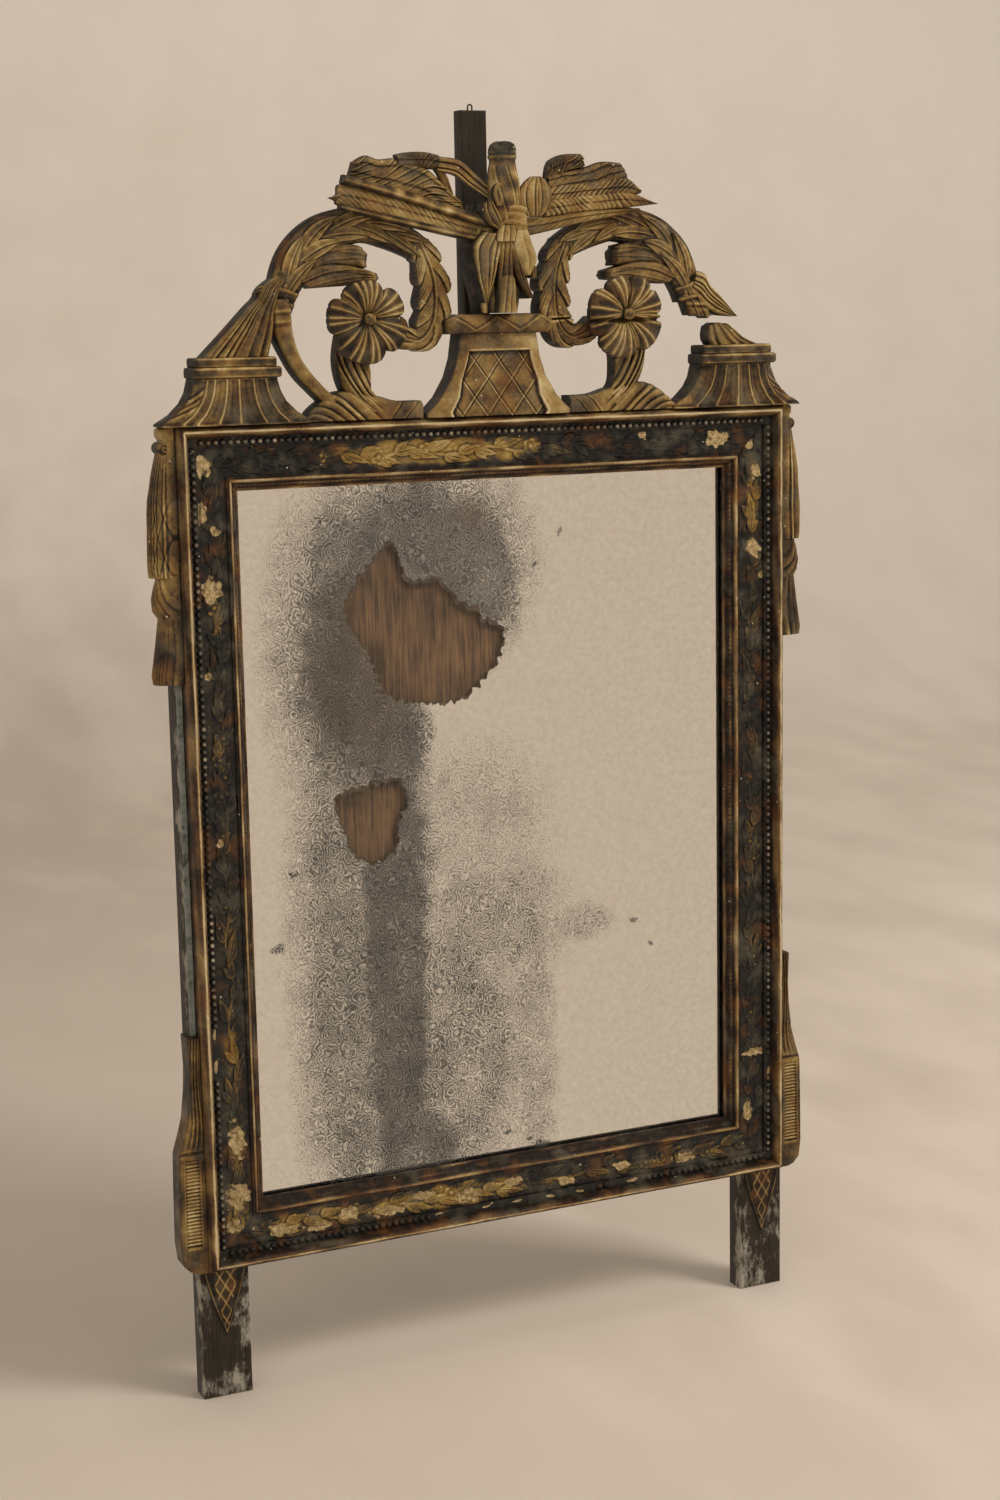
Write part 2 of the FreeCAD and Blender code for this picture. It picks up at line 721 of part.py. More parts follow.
def quiver():
    (x, foot), (_, top) = on_cap([(QUIVER_AXIS_X, QUIVER_FOOT), (QUIVER_AXIS_X, QUIVER_TOP)])
    y = -QUIVER_AXIS_FORWARD
    height = top - foot
    body = Part.makeCone(QUIVER_R, QUIVER_MOUTH_R - QUIVER_LIP_STEP, height, V(x, y, foot))
    lip = 0.18 * height
    return body.fuse(Part.makeCylinder(QUIVER_MOUTH_R, lip, V(x, y, top - lip)))


def drapery():
    left = on_cap(DRAPERY_LEFT)
    right = on_cap(DRAPERY_RIGHT)
    runs = [left, [left[-1], right[0]], right, [right[-1], left[0]]]
    return main_solid(plate(runs, TROPHY_FRONT, TROPHY_BACK).cut([quiver(), pedestal_cap()]))


def spacer():
    """Plain block that ties the trophy to the post behind it."""
    (_, low), (_, high) = on_cap([(0, SPACER_LOW), (0, SPACER_HIGH)])
    return box(-SPACER_W / 2, SPACER_W / 2, TROPHY_BACK, FRAME_BACK, low, high)


def ribbon_loop():
    (x, z), = drawn([RIBBON_LOOP])
    front = FEATHER_FRONT - RIBBON_T / 2
    loop = Part.makeCylinder(RIBBON_LOOP_R, RIBBON_T, V(x, front, z), V(0, 1, 0))
    return main_solid(loop.cut([quiver(), drapery()]))


def feather_left():
    lower = drawn([(-x, z) for x, z in LEFT_FEATHER_LOWER])
    upper = drawn([(-x, z) for x, z in LEFT_FEATHER_UPPER])
    shape = polygon_plate(lower + upper[:-1], FEATHER_FRONT, FEATHER_BACK)
    return main_solid(shape.cut([quiver(), drapery()]))


def feather_right():
    lower = drawn(RIGHT_FEATHER_LOWER)
    upper = drawn(RIGHT_FEATHER_UPPER)
    shape = polygon_plate(lower + upper[:-1], FEATHER_FRONT, FEATHER_BACK)
    return main_solid(shape.cut([quiver(), drapery(), ribbon_loop()]))


def ribbon_band():
    stations = drawn([(-x, z, half) for x, z, half in RIBBON])
    shape = band(stations, FEATHER_FRONT, FEATHER_FRONT + RIBBON_T)
    return main_solid(shape.cut([quiver(), drapery(), feather_left()]))


# Side carvings: outlines as reach beyond the stile and height from the frame's top or bottom


DROP_BELL = [(6, -14), (9, -24), (15, -42), (19, -62), (21, -92), (21.5, -121), (14, -126)]
DROP_KNOT = [(13, -126), (16, -134), (20, -146), (19, -156), (14, -161)]
DROP_SKIRT = [(13.5, -161), (17, -185), (22, -211), (13, -219)]


def beside_stile(points, level):
    return [(STILE_X + reach, level + z) for reach, z in points]


def side_board(points, front):
    """A carving against the rim's edge, with its outline from the top down."""
    top = (RIM_X, points[0][1])
    foot = (RIM_X, points[-1][1])
    return plate([points, [points[-1], foot], [foot, top], [top, points[0]]], front, DROP_BACK)


def side_drop():
    parts = [side_board(beside_stile(points, FRAME_TOP), -DROP_FORWARD)
             for points in (DROP_BELL, DROP_KNOT, DROP_SKIRT)]
    middle_x = STILE_X + ROLL_R
    middle_z = FRAME_TOP - ROLL_R
    roll = rod(2 * ROLL_R, V(middle_x, -DROP_FORWARD, middle_z), V(middle_x, DROP_BACK, middle_z))
    shape = parts[0].fuse(parts[1:] + [roll])
    return main_solid(shape.cut([stile(), corner_pedestal()]))


def side_console():
    reach = CONSOLE_REACH
    neck = CONSOLE_NECK
    height = CONSOLE_H
    shoulder = 0.5 * height
    curve = [(neck + 1, height), (neck, 0.90 * height), (neck, 0.77 * height),
             (neck + 3, 0.66 * height), (reach, shoulder)]
    foot = [(reach, 0.12 * height), (0.86 * reach, 0.04 * height),
            (0.5 * reach, 0.008 * height), (0.15 * reach, 0)]
    outer = beside_stile(curve, FRAME_BOTTOM)
    base = beside_stile(foot, FRAME_BOTTOM)
    low = (RIM_X, FRAME_BOTTOM)
    high = (RIM_X, outer[0][1])
    runs = [outer, [outer[-1], base[0]], base, [base[-1], low], [low, high], [high, outer[0]]]
    shape = plate(runs, -CONSOLE_FORWARD, DROP_BACK)
    panel_low = FRAME_BOTTOM + 0.12 * height
    panel = box(RIM_X + PANEL_MARGIN, STILE_X + reach - PANEL_MARGIN, -CONSOLE_FORWARD - BEYOND,
                -CONSOLE_FORWARD + PANEL_DEPTH, panel_low, panel_low + PANEL_H)
    return main_solid(shape.cut([stile(), panel]))


# Writing every piece, moved so that the origin is under the middle of the feet's level


def write(name, shape):
    placed = shape.copy()
    placed.translate(TO_FOOT_ORIGIN)
    placed.exportStep("parts/%s.step" % name)
    print("%-24s solids %2d  volume %.0f" % (name, len(placed.Solids), placed.Volume))


def write_pair(name, shape):
    write("left_" + name, mirrored(shape))
    write("right_" + name, shape)


os.makedirs("parts", exist_ok=True)

write_pair("stile", stile())
write("bottom_rail", rail(False).cut(all_board_nails()))
write("top_rail", rail(True).cut(all_board_nails() + post_nails()))
write("tenon_pegs", pegs())

for side in ("left", "right", "top", "bottom"):
    write(side + "_sight_moulding", moulding(side, sight_section()))
    write(side + "_frieze", moulding(side, frieze_section()))
    write(side + "_bead_strip", bead_strip(side))
    write(side + "_rim", moulding(side, rim_section()))

write("mirror_glass", glass_plate())
write("tin_silvering", silvering())
write("glazing_blocks", glazing_blocks())
for index, place in enumerate(("left", "middle", "right")):
    write(place + "_backboard", backboard(index))
write("backboard_nails", Part.makeCompound(all_board_nails()))

write("crest_post", crest_post())
write("hanging_staple", hanging_staple())
write("post_nails", Part.makeCompound(post_nails()))

write_pair("corner_pedestal", corner_pedestal())
write("left_finial_leaf", mirrored(finial()))
write("right_finial_stub", finial_stub())
write("left_scroll", mirrored(scroll(False)))
write("right_scroll", scroll(True))
write("left_branch", mirrored(branch()))
write_pair("acanthus_leaf", acanthus())
write_pair("husk", husk())
write("left_rosette_stem", mirrored(stem(True)))
write("right_rosette_stem", stem(False))
write_pair("rosette", rosette())

write("centre_pedestal", centre_pedestal())
write("pedestal_cap", pedestal_cap())
write("trophy_spacer", spacer())
write("trophy_drapery", drapery())
write("quiver", quiver())
write("left_feather", feather_left())
write("right_feather", feather_right())
write("left_ribbon", ribbon_band())
write("right_ribbon", ribbon_loop())

write_pair("side_drop", side_drop())
write_pair("side_console", side_console())
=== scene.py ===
# %% [markdown]
# # A carved and gilded mirror, dressed in Blender
# The joiner's work is already here: the imported frame brings every board, moulding and block at its real
# size. This lesson adds what the carver, the gilder and two centuries did to it. The frame is loaded
# first. Nothing that is added may grow past it.

# %% Load the frame
import bmesh
import bpy
import math
import numpy as np
from mathutils import Matrix, Vector


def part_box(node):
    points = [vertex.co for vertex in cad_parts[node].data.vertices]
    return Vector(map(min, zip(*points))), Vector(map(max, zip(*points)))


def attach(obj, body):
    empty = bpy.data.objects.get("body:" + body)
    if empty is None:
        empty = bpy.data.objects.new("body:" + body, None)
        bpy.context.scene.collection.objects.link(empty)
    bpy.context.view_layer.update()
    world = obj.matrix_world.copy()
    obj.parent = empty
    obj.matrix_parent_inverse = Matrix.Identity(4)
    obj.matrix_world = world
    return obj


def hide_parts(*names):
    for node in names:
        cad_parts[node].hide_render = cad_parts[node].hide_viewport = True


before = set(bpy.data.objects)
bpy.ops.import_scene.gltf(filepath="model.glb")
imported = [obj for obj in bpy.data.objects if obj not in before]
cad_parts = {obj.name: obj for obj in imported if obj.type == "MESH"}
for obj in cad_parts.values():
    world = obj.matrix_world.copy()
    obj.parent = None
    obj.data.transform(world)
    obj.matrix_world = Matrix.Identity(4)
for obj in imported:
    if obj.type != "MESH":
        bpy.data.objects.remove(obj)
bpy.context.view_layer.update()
MM = 0.001
print("frame loaded:", len(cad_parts), "nodes")

# %% [markdown]
# The carver drew on the front of the frame, so most places below are millimetres from the middle of the
# sight opening, up from its lower edge, and back from its front edge. The frame says where that is, and
# one function turns such a place into the scene's metres.

# %% The drawing's origin
SIGHT_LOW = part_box("bottom_sight_moulding")[1].z
SIGHT_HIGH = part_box("top_sight_moulding")[0].z
FRAME_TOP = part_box("top_rim")[1].z
FRAME_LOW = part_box("bottom_rim")[0].z
STILE_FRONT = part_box("left_stile")[0].y
FRAME_FORWARD_MM = 3.0
SIGHT_FRONT = STILE_FRONT + FRAME_FORWARD_MM * MM
print("sight opening from", round(SIGHT_LOW, 4), "to", round(SIGHT_HIGH, 4))
print("its front edge at y", round(SIGHT_FRONT, 4))

# %% [markdown]
# The camera stands to the left of the mirror and a little above its middle, looking slightly down. Its
# place came from the four corners of the sight opening, which are a rectangle on the real object.

# %% Camera
CAMERA_AT_MM = (-935.9, -2036.0, 782.5)
CAMERA_RIGHT = Vector((0.90629, -0.42225, -0.01858))
CAMERA_UP = Vector((0.08996, 0.14977, 0.98462))
FOCAL_PX = 2490.0
IMAGE_HEIGHT_PX = 1500.0
SENSOR_MM = 36.0


def placed(x, y, z):
    """A place on the drawing, in millimetres, as a point of the scene."""
    return Vector((x * MM, SIGHT_FRONT + y * MM, SIGHT_LOW + z * MM))


camera_data = bpy.data.cameras.new("camera")
camera_data.sensor_width = SENSOR_MM
camera_data.lens = FOCAL_PX / IMAGE_HEIGHT_PX * SENSOR_MM
camera = bpy.data.objects.new("camera", camera_data)
bpy.context.scene.collection.objects.link(camera)
back = CAMERA_RIGHT.cross(CAMERA_UP)
turn = Matrix((CAMERA_RIGHT, CAMERA_UP, back)).transposed().to_4x4()
camera.matrix_world = Matrix.Translation(placed(*CAMERA_AT_MM)) @ turn
bpy.context.scene.camera = camera
print("camera at", [round(c, 3) for c in camera.location], "lens", round(camera_data.lens, 2))

# %% [markdown]
# A few small helpers carry every finish. One turns a written sRGB colour into the linear values that the
# renderer works with. Others add a node, set its options and fill its sockets with numbers or links.

# %% Colour and node helpers


def linear(hex_colour):
    channels = [int(hex_colour[i:i + 2], 16) / 255 for i in (1, 3, 5)]
    return tuple(c / 12.92 if c <= 0.04045 else ((c + 0.055) / 1.055) ** 2.4 for c in channels) + (1.0,)


def fill(tree, node, sockets):
    """Fills a node's sockets with links, written colours or numbers."""
    for socket, value in sockets.items():
        if isinstance(value, bpy.types.NodeSocket):
            tree.links.new(value, node.inputs[socket])
        elif isinstance(value, str):
            node.inputs[socket].default_value = linear(value)
        else:
            node.inputs[socket].default_value = value


def add(tree, kind, sockets=None, **options):
    made = tree.nodes.new("ShaderNode" + kind)
    for option, value in options.items():
        setattr(made, option, value)
    fill(tree, made, sockets or {})
    return made


def worked(tree, kind, operation, *values, **options):
    """What a Math or VectorMath node makes of some values."""
    return add(tree, kind, dict(enumerate(values)), operation=operation, **options).outputs[0]


def finish(name):
    """A new material with its shader and the place of each point, in metres."""
    material = bpy.data.materials.new(name)
    material.use_nodes = True
    tree = material.node_tree
    shader = tree.nodes["Principled BSDF"]
    spot = add(tree, "NewGeometry").outputs["Position"]
    return material, tree, shader, spot


def ramp(tree, value, *stops):
    """Colours along a value: pairs of place and colour, in order."""
    made = add(tree, "ValToRGB", {"Fac": value})
    points = made.color_ramp.elements
    while len(points) < len(stops):
        points.new(1.0)
    for point, (place, colour) in zip(points, stops):
        point.position = place
        point.color = linear(colour)
    return made.outputs["Color"]


def per_mm(size):
    """The texture scale at which a pattern repeats about every so many millimetres."""
    return 1.0 / (size * MM)


def cloud(tree, spot, size, detail=4.0, roughness=0.6):
    """Noise whose patches are about so many millimetres across."""
    sockets = {"Vector": spot, "Scale": per_mm(size), "Detail": detail, "Roughness": roughness}
    return add(tree, "TexNoise", sockets).outputs["Fac"]


def summed(tree, offset, *terms):
    """A number plus values times factors."""
    total = offset
    for value, factor in terms:
        total = worked(tree, "Math", "MULTIPLY_ADD", value, factor, total)
    return total


def limits(tree, value, low, high, to_low=0.0, to_high=1.0):
    """A value stretched between two limits and held there."""
    sockets = {"Value": value, "From Min": low, "From Max": high, "To Min": to_low, "To Max": to_high}
    return add(tree, "MapRange", sockets).outputs["Result"]


def mixed(tree, share, below, above, blend="MIX"):
    """One colour over another where share is 1."""
    return add(tree, "Mix", {0: share, 6: below, 7: above}, data_type="RGBA", blend_type=blend).outputs[2]


def marked(tree, name):
    """A number that a mesh carries at every point."""
    return add(tree, "Attribute", attribute_name=name).outputs["Fac"]


def bumped(tree, height):
    """A shallow grain in the surface."""
    return add(tree, "Bump", {"Height": height, "Strength": 0.5, "Distance": 0.5 * MM}).outputs["Normal"]


print("helpers ready")

# %% [markdown]
# ## Stage
# A pale painted backdrop: a floor that curves up into a wall behind. Its colour is painted lighter up the
# wall and towards the top right, as painted light. One bent sheet serves as both, so no line shows between
# them. It ends a few steps in front, and mirrored rays pass it by, so that the plate meets the room's even
# colour instead.

# %% Backdrop
FLOOR_HALF = 6.0
FLOOR_FRONT = -2.5
WALL_AT = 3.9
SWEEP_R = 1.4
WALL_H = 4.5
SWEEP_STEPS = 16
MOTTLE_MM = 170.0
DRAWN_OUT = (1.0, 0.45, 1.0)
PALER_TO_RIGHT = 0.36
SHADE_PER_M = 0.3
SHADE_AT_FLOOR = -0.05
BACKDROP_TONES = ((0.0, "#bcad9c"), (0.12, "#c1b2a1"), (0.25, "#d4c5b4"), (0.42, "#e5d7c6"),
                  (0.9, "#f9eddf"))

paper, tree, shader, spot = finish("matt_painted_backdrop")
apart = add(tree, "SeparateXYZ", {0: spot}).outputs
drawn = worked(tree, "VectorMath", "MULTIPLY", spot, DRAWN_OUT)
mottle = add(tree, "TexNoise", {"Vector": drawn, "Scale": per_mm(MOTTLE_MM), "Detail": 5.0}).outputs["Fac"]
# Painted light: the tint grows lighter with height and towards the right, over the paint's blotches
height = summed(tree, apart["Z"], (apart["X"], PALER_TO_RIGHT), (mottle, 1.0))
tint = ramp(tree, summed(tree, SHADE_AT_FLOOR, (height, SHADE_PER_M)), *BACKDROP_TONES)
fill(tree, shader, {"Base Color": tint, "Roughness": 0.95, "Specular IOR Level": 0.1})

bend = [(WALL_AT - SWEEP_R + SWEEP_R * math.sin(a), SWEEP_R - SWEEP_R * math.cos(a))
        for a in np.linspace(0, math.pi / 2, SWEEP_STEPS)]
profile = [(FLOOR_FRONT, 0.0)] + bend + [(WALL_AT, WALL_H)]
verts = [(x, y, z) for y, z in profile for x in (-FLOOR_HALF, FLOOR_HALF)]
faces = [(2 * i, 2 * i + 1, 2 * i + 3, 2 * i + 2) for i in range(len(profile) - 1)]
sweep_mesh = bpy.data.meshes.new("paper_sweep")
sweep_mesh.from_pydata(verts, [], faces)
sweep_mesh.materials.append(paper)
sweep_mesh.shade_smooth()
sweep = bpy.data.objects.new("paper_sweep", sweep_mesh)
bpy.context.scene.collection.objects.link(sweep)
sweep.visible_glossy = False
sweep.visible_transmission = False
print("backdrop ready,", WALL_H, "m high")

# %% [markdown]
# The world shows its colour to the camera and to the old plate, and lights the object with a softer
# white. Three large soft boxes, which mirrored rays don't see, cast the soft shadows: a key light from
# the right, a fill from the left and one overhead.

# %% World and lamps
AMBIENT = 0.50
LAMP_WHITE = "#fffcf8"
ROOM_TONE = "#dfd2c3"
LAMPS = (
    ("key_soft_box", (1.7, -1.9, 2.6), 1.0, 74.0),
    ("fill_soft_box", (-2.6, -2.4, 1.9), 2.0, 22.0),
    ("top_soft_box", (0.2, -0.3, 3.2), 1.4, 16.0),
)
AIM = Vector((0.0, 0.0, 0.62))

world = bpy.data.worlds.new("studio")
bpy.context.scene.world = world
world.use_nodes = True
tree = world.node_tree
rays = add(tree, "LightPath").outputs
seen = worked(tree, "Math", "ADD", rays["Is Camera Ray"], rays["Is Glossy Ray"])
seen = worked(tree, "Math", "ADD", seen, rays["Is Transmission Ray"], use_clamp=True)
ambient = add(tree, "Background", {"Color": LAMP_WHITE, "Strength": AMBIENT}).outputs[0]
shown = add(tree, "Background", {"Color": ROOM_TONE, "Strength": 1.0}).outputs[0]
both = add(tree, "MixShader", {0: seen, 1: ambient, 2: shown}).outputs[0]
fill(tree, tree.nodes["World Output"], {"Surface": both})

for name, place, size, watts in LAMPS:
    lamp = bpy.data.lights.new(name, "AREA")
    lamp.size = size
    lamp.energy = watts
    lamp.color = linear(LAMP_WHITE)[:3]
    lamp_object = bpy.data.objects.new(name, lamp)
    lamp_object.location = place
    lamp_object.rotation_euler = (AIM - Vector(place)).to_track_quat("-Z", "Y").to_euler()
    lamp_object.visible_glossy = False
    bpy.context.scene.collection.objects.link(lamp_object)
bpy.context.scene.view_settings.view_transform = "Standard"
print("stage ready with", len(LAMPS), "soft boxes")

# %% [markdown]
# ## Finishes
# The whole front was once water gilded: gold leaf over red-brown clay, called bole, over white gesso.
# Two centuries of smoke have browned it. Hands and dusters keep the ridges bright, dirt fills the
# hollows, and chips show pale gesso. So one gilding recipe takes a mark that each carving carries, how
# rubbed every point is, breaks it up with noise, and looks up dirt, bole, dull gold or bright gold.

# %% Old gilding
DUSTY_SPECULAR = 0.25
WEAR_MM = 42
GRAIN_MM = 3.2
STAIN_MM = 26
FLAKE_MM = 5.0
CHIPS_APART_MM = 17
CHIP_MM = 1.9
CHIP_CORE = 0.7
CHIP_TONE = "#c9bb9a"
GREY_STAIN = "#6a614d"
RED_STAIN = "#7a4d24"
TONE_PLACES = (0.16, 0.36, 0.50, 0.68, 0.86, 1.0)
GESSO = ((0.35, "#77613f"), (0.5, "#9a8156"), (0.64, "#c0aa7e"))


def chips(tree, spot, spacing, size):
    """Small round spots: 1 inside, about so many millimetres apart and across."""
    near = add(tree, "TexVoronoi", {"Vector": spot, "Scale": per_mm(spacing)}).outputs["Distance"]
    edge = size / spacing / 2
    return limits(tree, near, edge, edge * CHIP_CORE)


def old_gilding(name, tones, bias, gloss=(0.66, 0.42), specular=DUSTY_SPECULAR):
    """Water gilding over bole and gesso: six tones along one worn value, from dirt to pale gold."""
    material, tree, shader, spot = finish(name)
    grain = cloud(tree, spot, GRAIN_MM, 6.0, 0.75)
    worn = summed(tree, bias, (marked(tree, "rub"), 0.72), (cloud(tree, spot, WEAR_MM), 1.15), (grain, 0.5))
    colour = ramp(tree, worn, *zip(TONE_PLACES, tones))
    stain = cloud(tree, spot, STAIN_MM, 3.0)
    colour = mixed(tree, limits(tree, stain, 0.50, 0.72, 0.0, 0.45), colour, GREY_STAIN)
    colour = mixed(tree, limits(tree, stain, 0.46, 0.28, 0.0, 0.40), colour, RED_STAIN)
    torn_edge = cloud(tree, spot, FLAKE_MM, 6.0, 0.75)
    flaked = summed(tree, -0.45, (marked(tree, "flake"), 1.0), (torn_edge, 0.9))
    colour = mixed(tree, limits(tree, flaked, 0.44, 0.50), colour, ramp(tree, grain, *GESSO))
    spots = chips(tree, spot, CHIPS_APART_MM, CHIP_MM)
    colour = mixed(tree, summed(tree, 0.0, (spots, 0.75)), colour, CHIP_TONE)
    fill(tree, shader, {
        "Base Color": colour,
        "Metallic": limits(tree, worn, 0.45, 0.9, 0.0, 0.5),
        "Roughness": limits(tree, worn, 0.3, 0.95, *gloss),
        "Specular IOR Level": specular,
        "Normal": bumped(tree, grain),
    })
    return material


GILT_TONES = ("#17130e", "#32271b", "#59442a", "#8a6d3c", "#b39a66", "#cdb98f")
SMOKED_TONES = ("#0b0a08", "#191610", "#342b1e", "#6b5328", "#94773c", "#b39a66")
BEAD_TONES = ("#0f0d0a", "#1d1914", "#39322a", "#62574a", "#93866f", "#b8aa90")
RIM_TONES = ("#17110c", "#39271a", "#5c442b", "#85683f", "#ab9263", "#c9b68f")
carved_gilt = old_gilding("carved_wood_water_gilded", GILT_TONES, -0.665)
frieze_gilt = old_gilding("low_relief_water_gilded_and_smoked", SMOKED_TONES, -0.85, (0.42, 0.38), 0.3)
bead_gilt = old_gilding("turned_bead_gilded_and_smoked", BEAD_TONES, -0.78, (0.5, 0.34), 0.4)
rim_gilt = old_gilding("run_moulding_gilded_on_red_bole", RIM_TONES, -0.64)
print("gilding made:", carved_gilt.name, frieze_gilt.name, bead_gilt.name, rim_gilt.name)

# %% [markdown]
# The back frame is softwood under smoke-black paint that has worn to grey at the corners and feet. The
# post is the same wood, never painted, and nearly black with age. Grain is noise drawn out along the
# board, and scuffs are noise drawn out a little.

# %% Old softwood and iron
GRAIN_DRAWN = (1.0, 1.0, 0.06)
SCUFFS_DRAWN = (1.0, 1.0, 0.35)
SCUFF_MM = 7.0
BOARD_PATCH_MM = 30
RUST = ((0.3, "#221c18"), (0.6, "#3b2a20"), (0.8, "#5b3a26"))


def old_wood(name, dark, mid, pale, worn_share, grain_mm=2.2, strength=1.1):
    """Aged softwood: dark body, grain drawn out along the board, pale worn places."""
    material, tree, shader, spot = finish(name)
    grain = cloud(tree, worked(tree, "VectorMath", "MULTIPLY", spot, GRAIN_DRAWN), grain_mm, 6.0, 0.7)
    patches = cloud(tree, spot, BOARD_PATCH_MM, 5.0)
    rub = marked(tree, "rub")
    body = summed(tree, 0.1 - 0.5 * strength, (grain, strength), (patches, 0.5), (rub, 0.3))
    colour = ramp(tree, body, (0.1, dark), (0.6, mid), (1.0, pale))
    dragged = cloud(tree, worked(tree, "VectorMath", "MULTIPLY", spot, SCUFFS_DRAWN), SCUFF_MM, 6.0, 0.8)
    scuffs = summed(tree, worn_share - 1.1, (patches, 0.9), (dragged, 0.9), (rub, 0.25))
    fill(tree, shader, {
        "Base Color": mixed(tree, limits(tree, scuffs, 0.25, 0.42), colour, pale),
        "Roughness": 0.72,
        "Specular IOR Level": DUSTY_SPECULAR,
        "Normal": bumped(tree, grain),
    })
    return material


frame_wood = old_wood("softwood_smoke_black_paint", "#14110d", "#352c22", "#968e7e", 0.34)
post_wood = old_wood("softwood_black_with_age", "#15120e", "#312b22", "#564b3e", 0.15)
board_pine = old_wood("riven_pine_backboard", "#1f170f", "#5f4830", "#765a3c", 0.05, 2.4, 1.35)
iron, tree, shader, spot = finish("wrought_iron_forged_and_rusted")
rust = ramp(tree, cloud(tree, spot, 1.5, 5.0), *RUST)
fill(tree, shader, {"Base Color": rust, "Metallic": 0.6, "Roughness": 0.7})


def dress(nodes, material):
    """Gives CAD nodes a finish in place of their plain one."""
    for node in nodes:
        for each in bpy.data.objects[node].material_slots:
            each.material = material


dress(["top_rail", "bottom_rail", "tenon_pegs", "glazing_blocks"], frame_wood)
dress(["trophy_spacer"], post_wood)
dress(["left_backboard", "middle_backboard", "right_backboard"], board_pine)
dress(["backboard_nails", "post_nails", "hanging_staple"], iron)
print("wood and iron made")

# %% [markdown]
# ## The carver's tools
# Carved ornament could be sculpted by hand, but then it could not be measured or changed. Here each
# leaf, fold and moulding is a grid of points: its outline is drawn flat in millimetres, and a height
# formula says how far each point stands forward of the sight edge. A grid for the front and one for the
# back make one closed body. Each blank was sawn by hand, so no two backs lie in quite the same plane.

# %% Grids of points
FINE_STEPS = 24
PATH_STEPS = 300


def smooth_line(points, count):
    """Even steps along a smooth line through drawn points, with any half width they carry."""
    drawn = np.array(points, dtype=float)
    ends = np.vstack([2 * drawn[0] - drawn[1], drawn, 2 * drawn[-1] - drawn[-2]])
    share = np.linspace(0, len(drawn) - 1, FINE_STEPS * (len(drawn) - 1) + 1)
    i = np.minimum(share.astype(int), len(drawn) - 2)
    s = (share - i)[:, None]
    a, b, c, d = ends[i], ends[i + 1], ends[i + 2], ends[i + 3]
    square = 2 * a - 5 * b + 4 * c - d
    cube = 3 * b - a - 3 * c + d
    fine = 0.5 * (2 * b + (c - a) * s + square * s ** 2 + cube * s ** 3)
    return even_steps(fine, count)


def even_steps(line, count):
    """So many even steps along a line of points."""
    step = np.linalg.norm(np.diff(line[:, :2], axis=0), axis=1)
    run = np.concatenate([[0], np.cumsum(step)])
    even = np.linspace(0, run[-1], count)
    return np.stack([np.interp(even, run, column) for column in line.T], axis=1)


def grid(down, across):
    return np.meshgrid(down, across, indexing="ij")


def net(rows, cols):
    """Shares along (0 to 1) and across (-1 to 1) for a grid."""
    return grid(np.linspace(0, 1, rows), np.linspace(-1, 1, cols))


def disc(count):
    """A square grid drawn in to a disc of radius 1."""
    s, t = grid(np.linspace(-1, 1, count), np.linspace(-1, 1, count))
    return s * np.sqrt(1 - t ** 2 / 2), t * np.sqrt(1 - s ** 2 / 2)


def laid(x, z):
    """A flat grid or line from its places across and up."""
    return np.stack([x, z], axis=-1)


def strip(one_edge, other_edge, rows, cols):
    """A flat grid between two drawn edges, both from the same end, with its shares."""
    one = smooth_line(one_edge, rows)[:, None, :2]
    other = smooth_line(other_edge, rows)[:, None, :2]
    flat = one + (other - one) * np.linspace(0, 1, cols)[None, :, None]
    return flat, *net(rows, cols)


def path(stations):
    """A line with a half width, as a function: share along and share across give x and z."""
    line = smooth_line(stations, PATH_STEPS)
    tangent = np.gradient(line[:, :2], axis=0)
    tangent /= np.linalg.norm(tangent, axis=1)[:, None]
    shares = np.linspace(0, 1, len(line))

    def at(along, across, offset=0.0):
        x, z, half = (np.interp(along, shares, column) for column in line.T)
        tx, tz = (np.interp(along, shares, column) for column in tangent.T)
        out = half * across + offset
        return laid(x - tz * out, z + tx * out)

    at.length = float(np.sum(np.linalg.norm(np.diff(line[:, :2], axis=0), axis=1)))
    at.half = lambda along: np.interp(along, shares, line[:, 2])
    return at


def band(stations, rows, cols):
    """A flat grid along a line with a half width, with its shares."""
    along, across = net(rows, cols)
    return path(stations)(along, across), along, across


def blurred(field, reach):
    kernel = np.ones(2 * reach + 1) / (2 * reach + 1)
    for axis in (0, 1):
        pad = [(reach, reach) if axis == a else (0, 0) for a in (0, 1)]
        padded = np.pad(field, pad, mode="edge")
        field = np.apply_along_axis(np.convolve, axis, padded, kernel, mode="valid")
    return field


def wobble(x, z, size, seed):
    """The unevenness of hand work, about -1 to 1, with waves about so many millimetres long."""
    draw = np.random.default_rng(seed)
    total = np.zeros_like(x)
    for _ in range(6):
        angle = draw.uniform(0, 2 * math.pi)
        length = size * draw.uniform(0.7, 1.6)
        phase = draw.uniform(0, 2 * math.pi)
        total += np.sin(2 * math.pi * (x * math.cos(angle) + z * math.sin(angle)) / length + phase)
    return total / 3


def rough(flat, size, seed):
    """The same unevenness for a flat grid."""
    return wobble(flat[..., 0], flat[..., 1], size, seed)


print("grids ready: discs, strips between two edges, and bands along a line")

# %% [markdown]
# A carver's gouges leave only a few plain forms: a hump, a round back, reeds, a thin line with a groove
# beside it, and folds that swell slowly and drop at once. A formula for each keeps the edges crisp, and
# the height of any carving is a sum of them.

# %% Height formulas


def hump(value, width):
    return np.exp(-(value / width) ** 2)


def limits_of(value, low, high):
    """0 below, 1 above, and a straight rise between."""
    return np.clip((value - low) / (high - low), 0, 1)


def unit(value):
    return np.clip(value, 0, 1)


def bowed(across, bow=0.97):
    """A round back: 1 along the middle, nearly 0 at both edges."""
    return np.sqrt(1 - bow * across ** 2)


def eased(share):
    """A rise from 0 that levels out at 1."""
    return np.sin(0.5 * math.pi * np.minimum(share, 1))


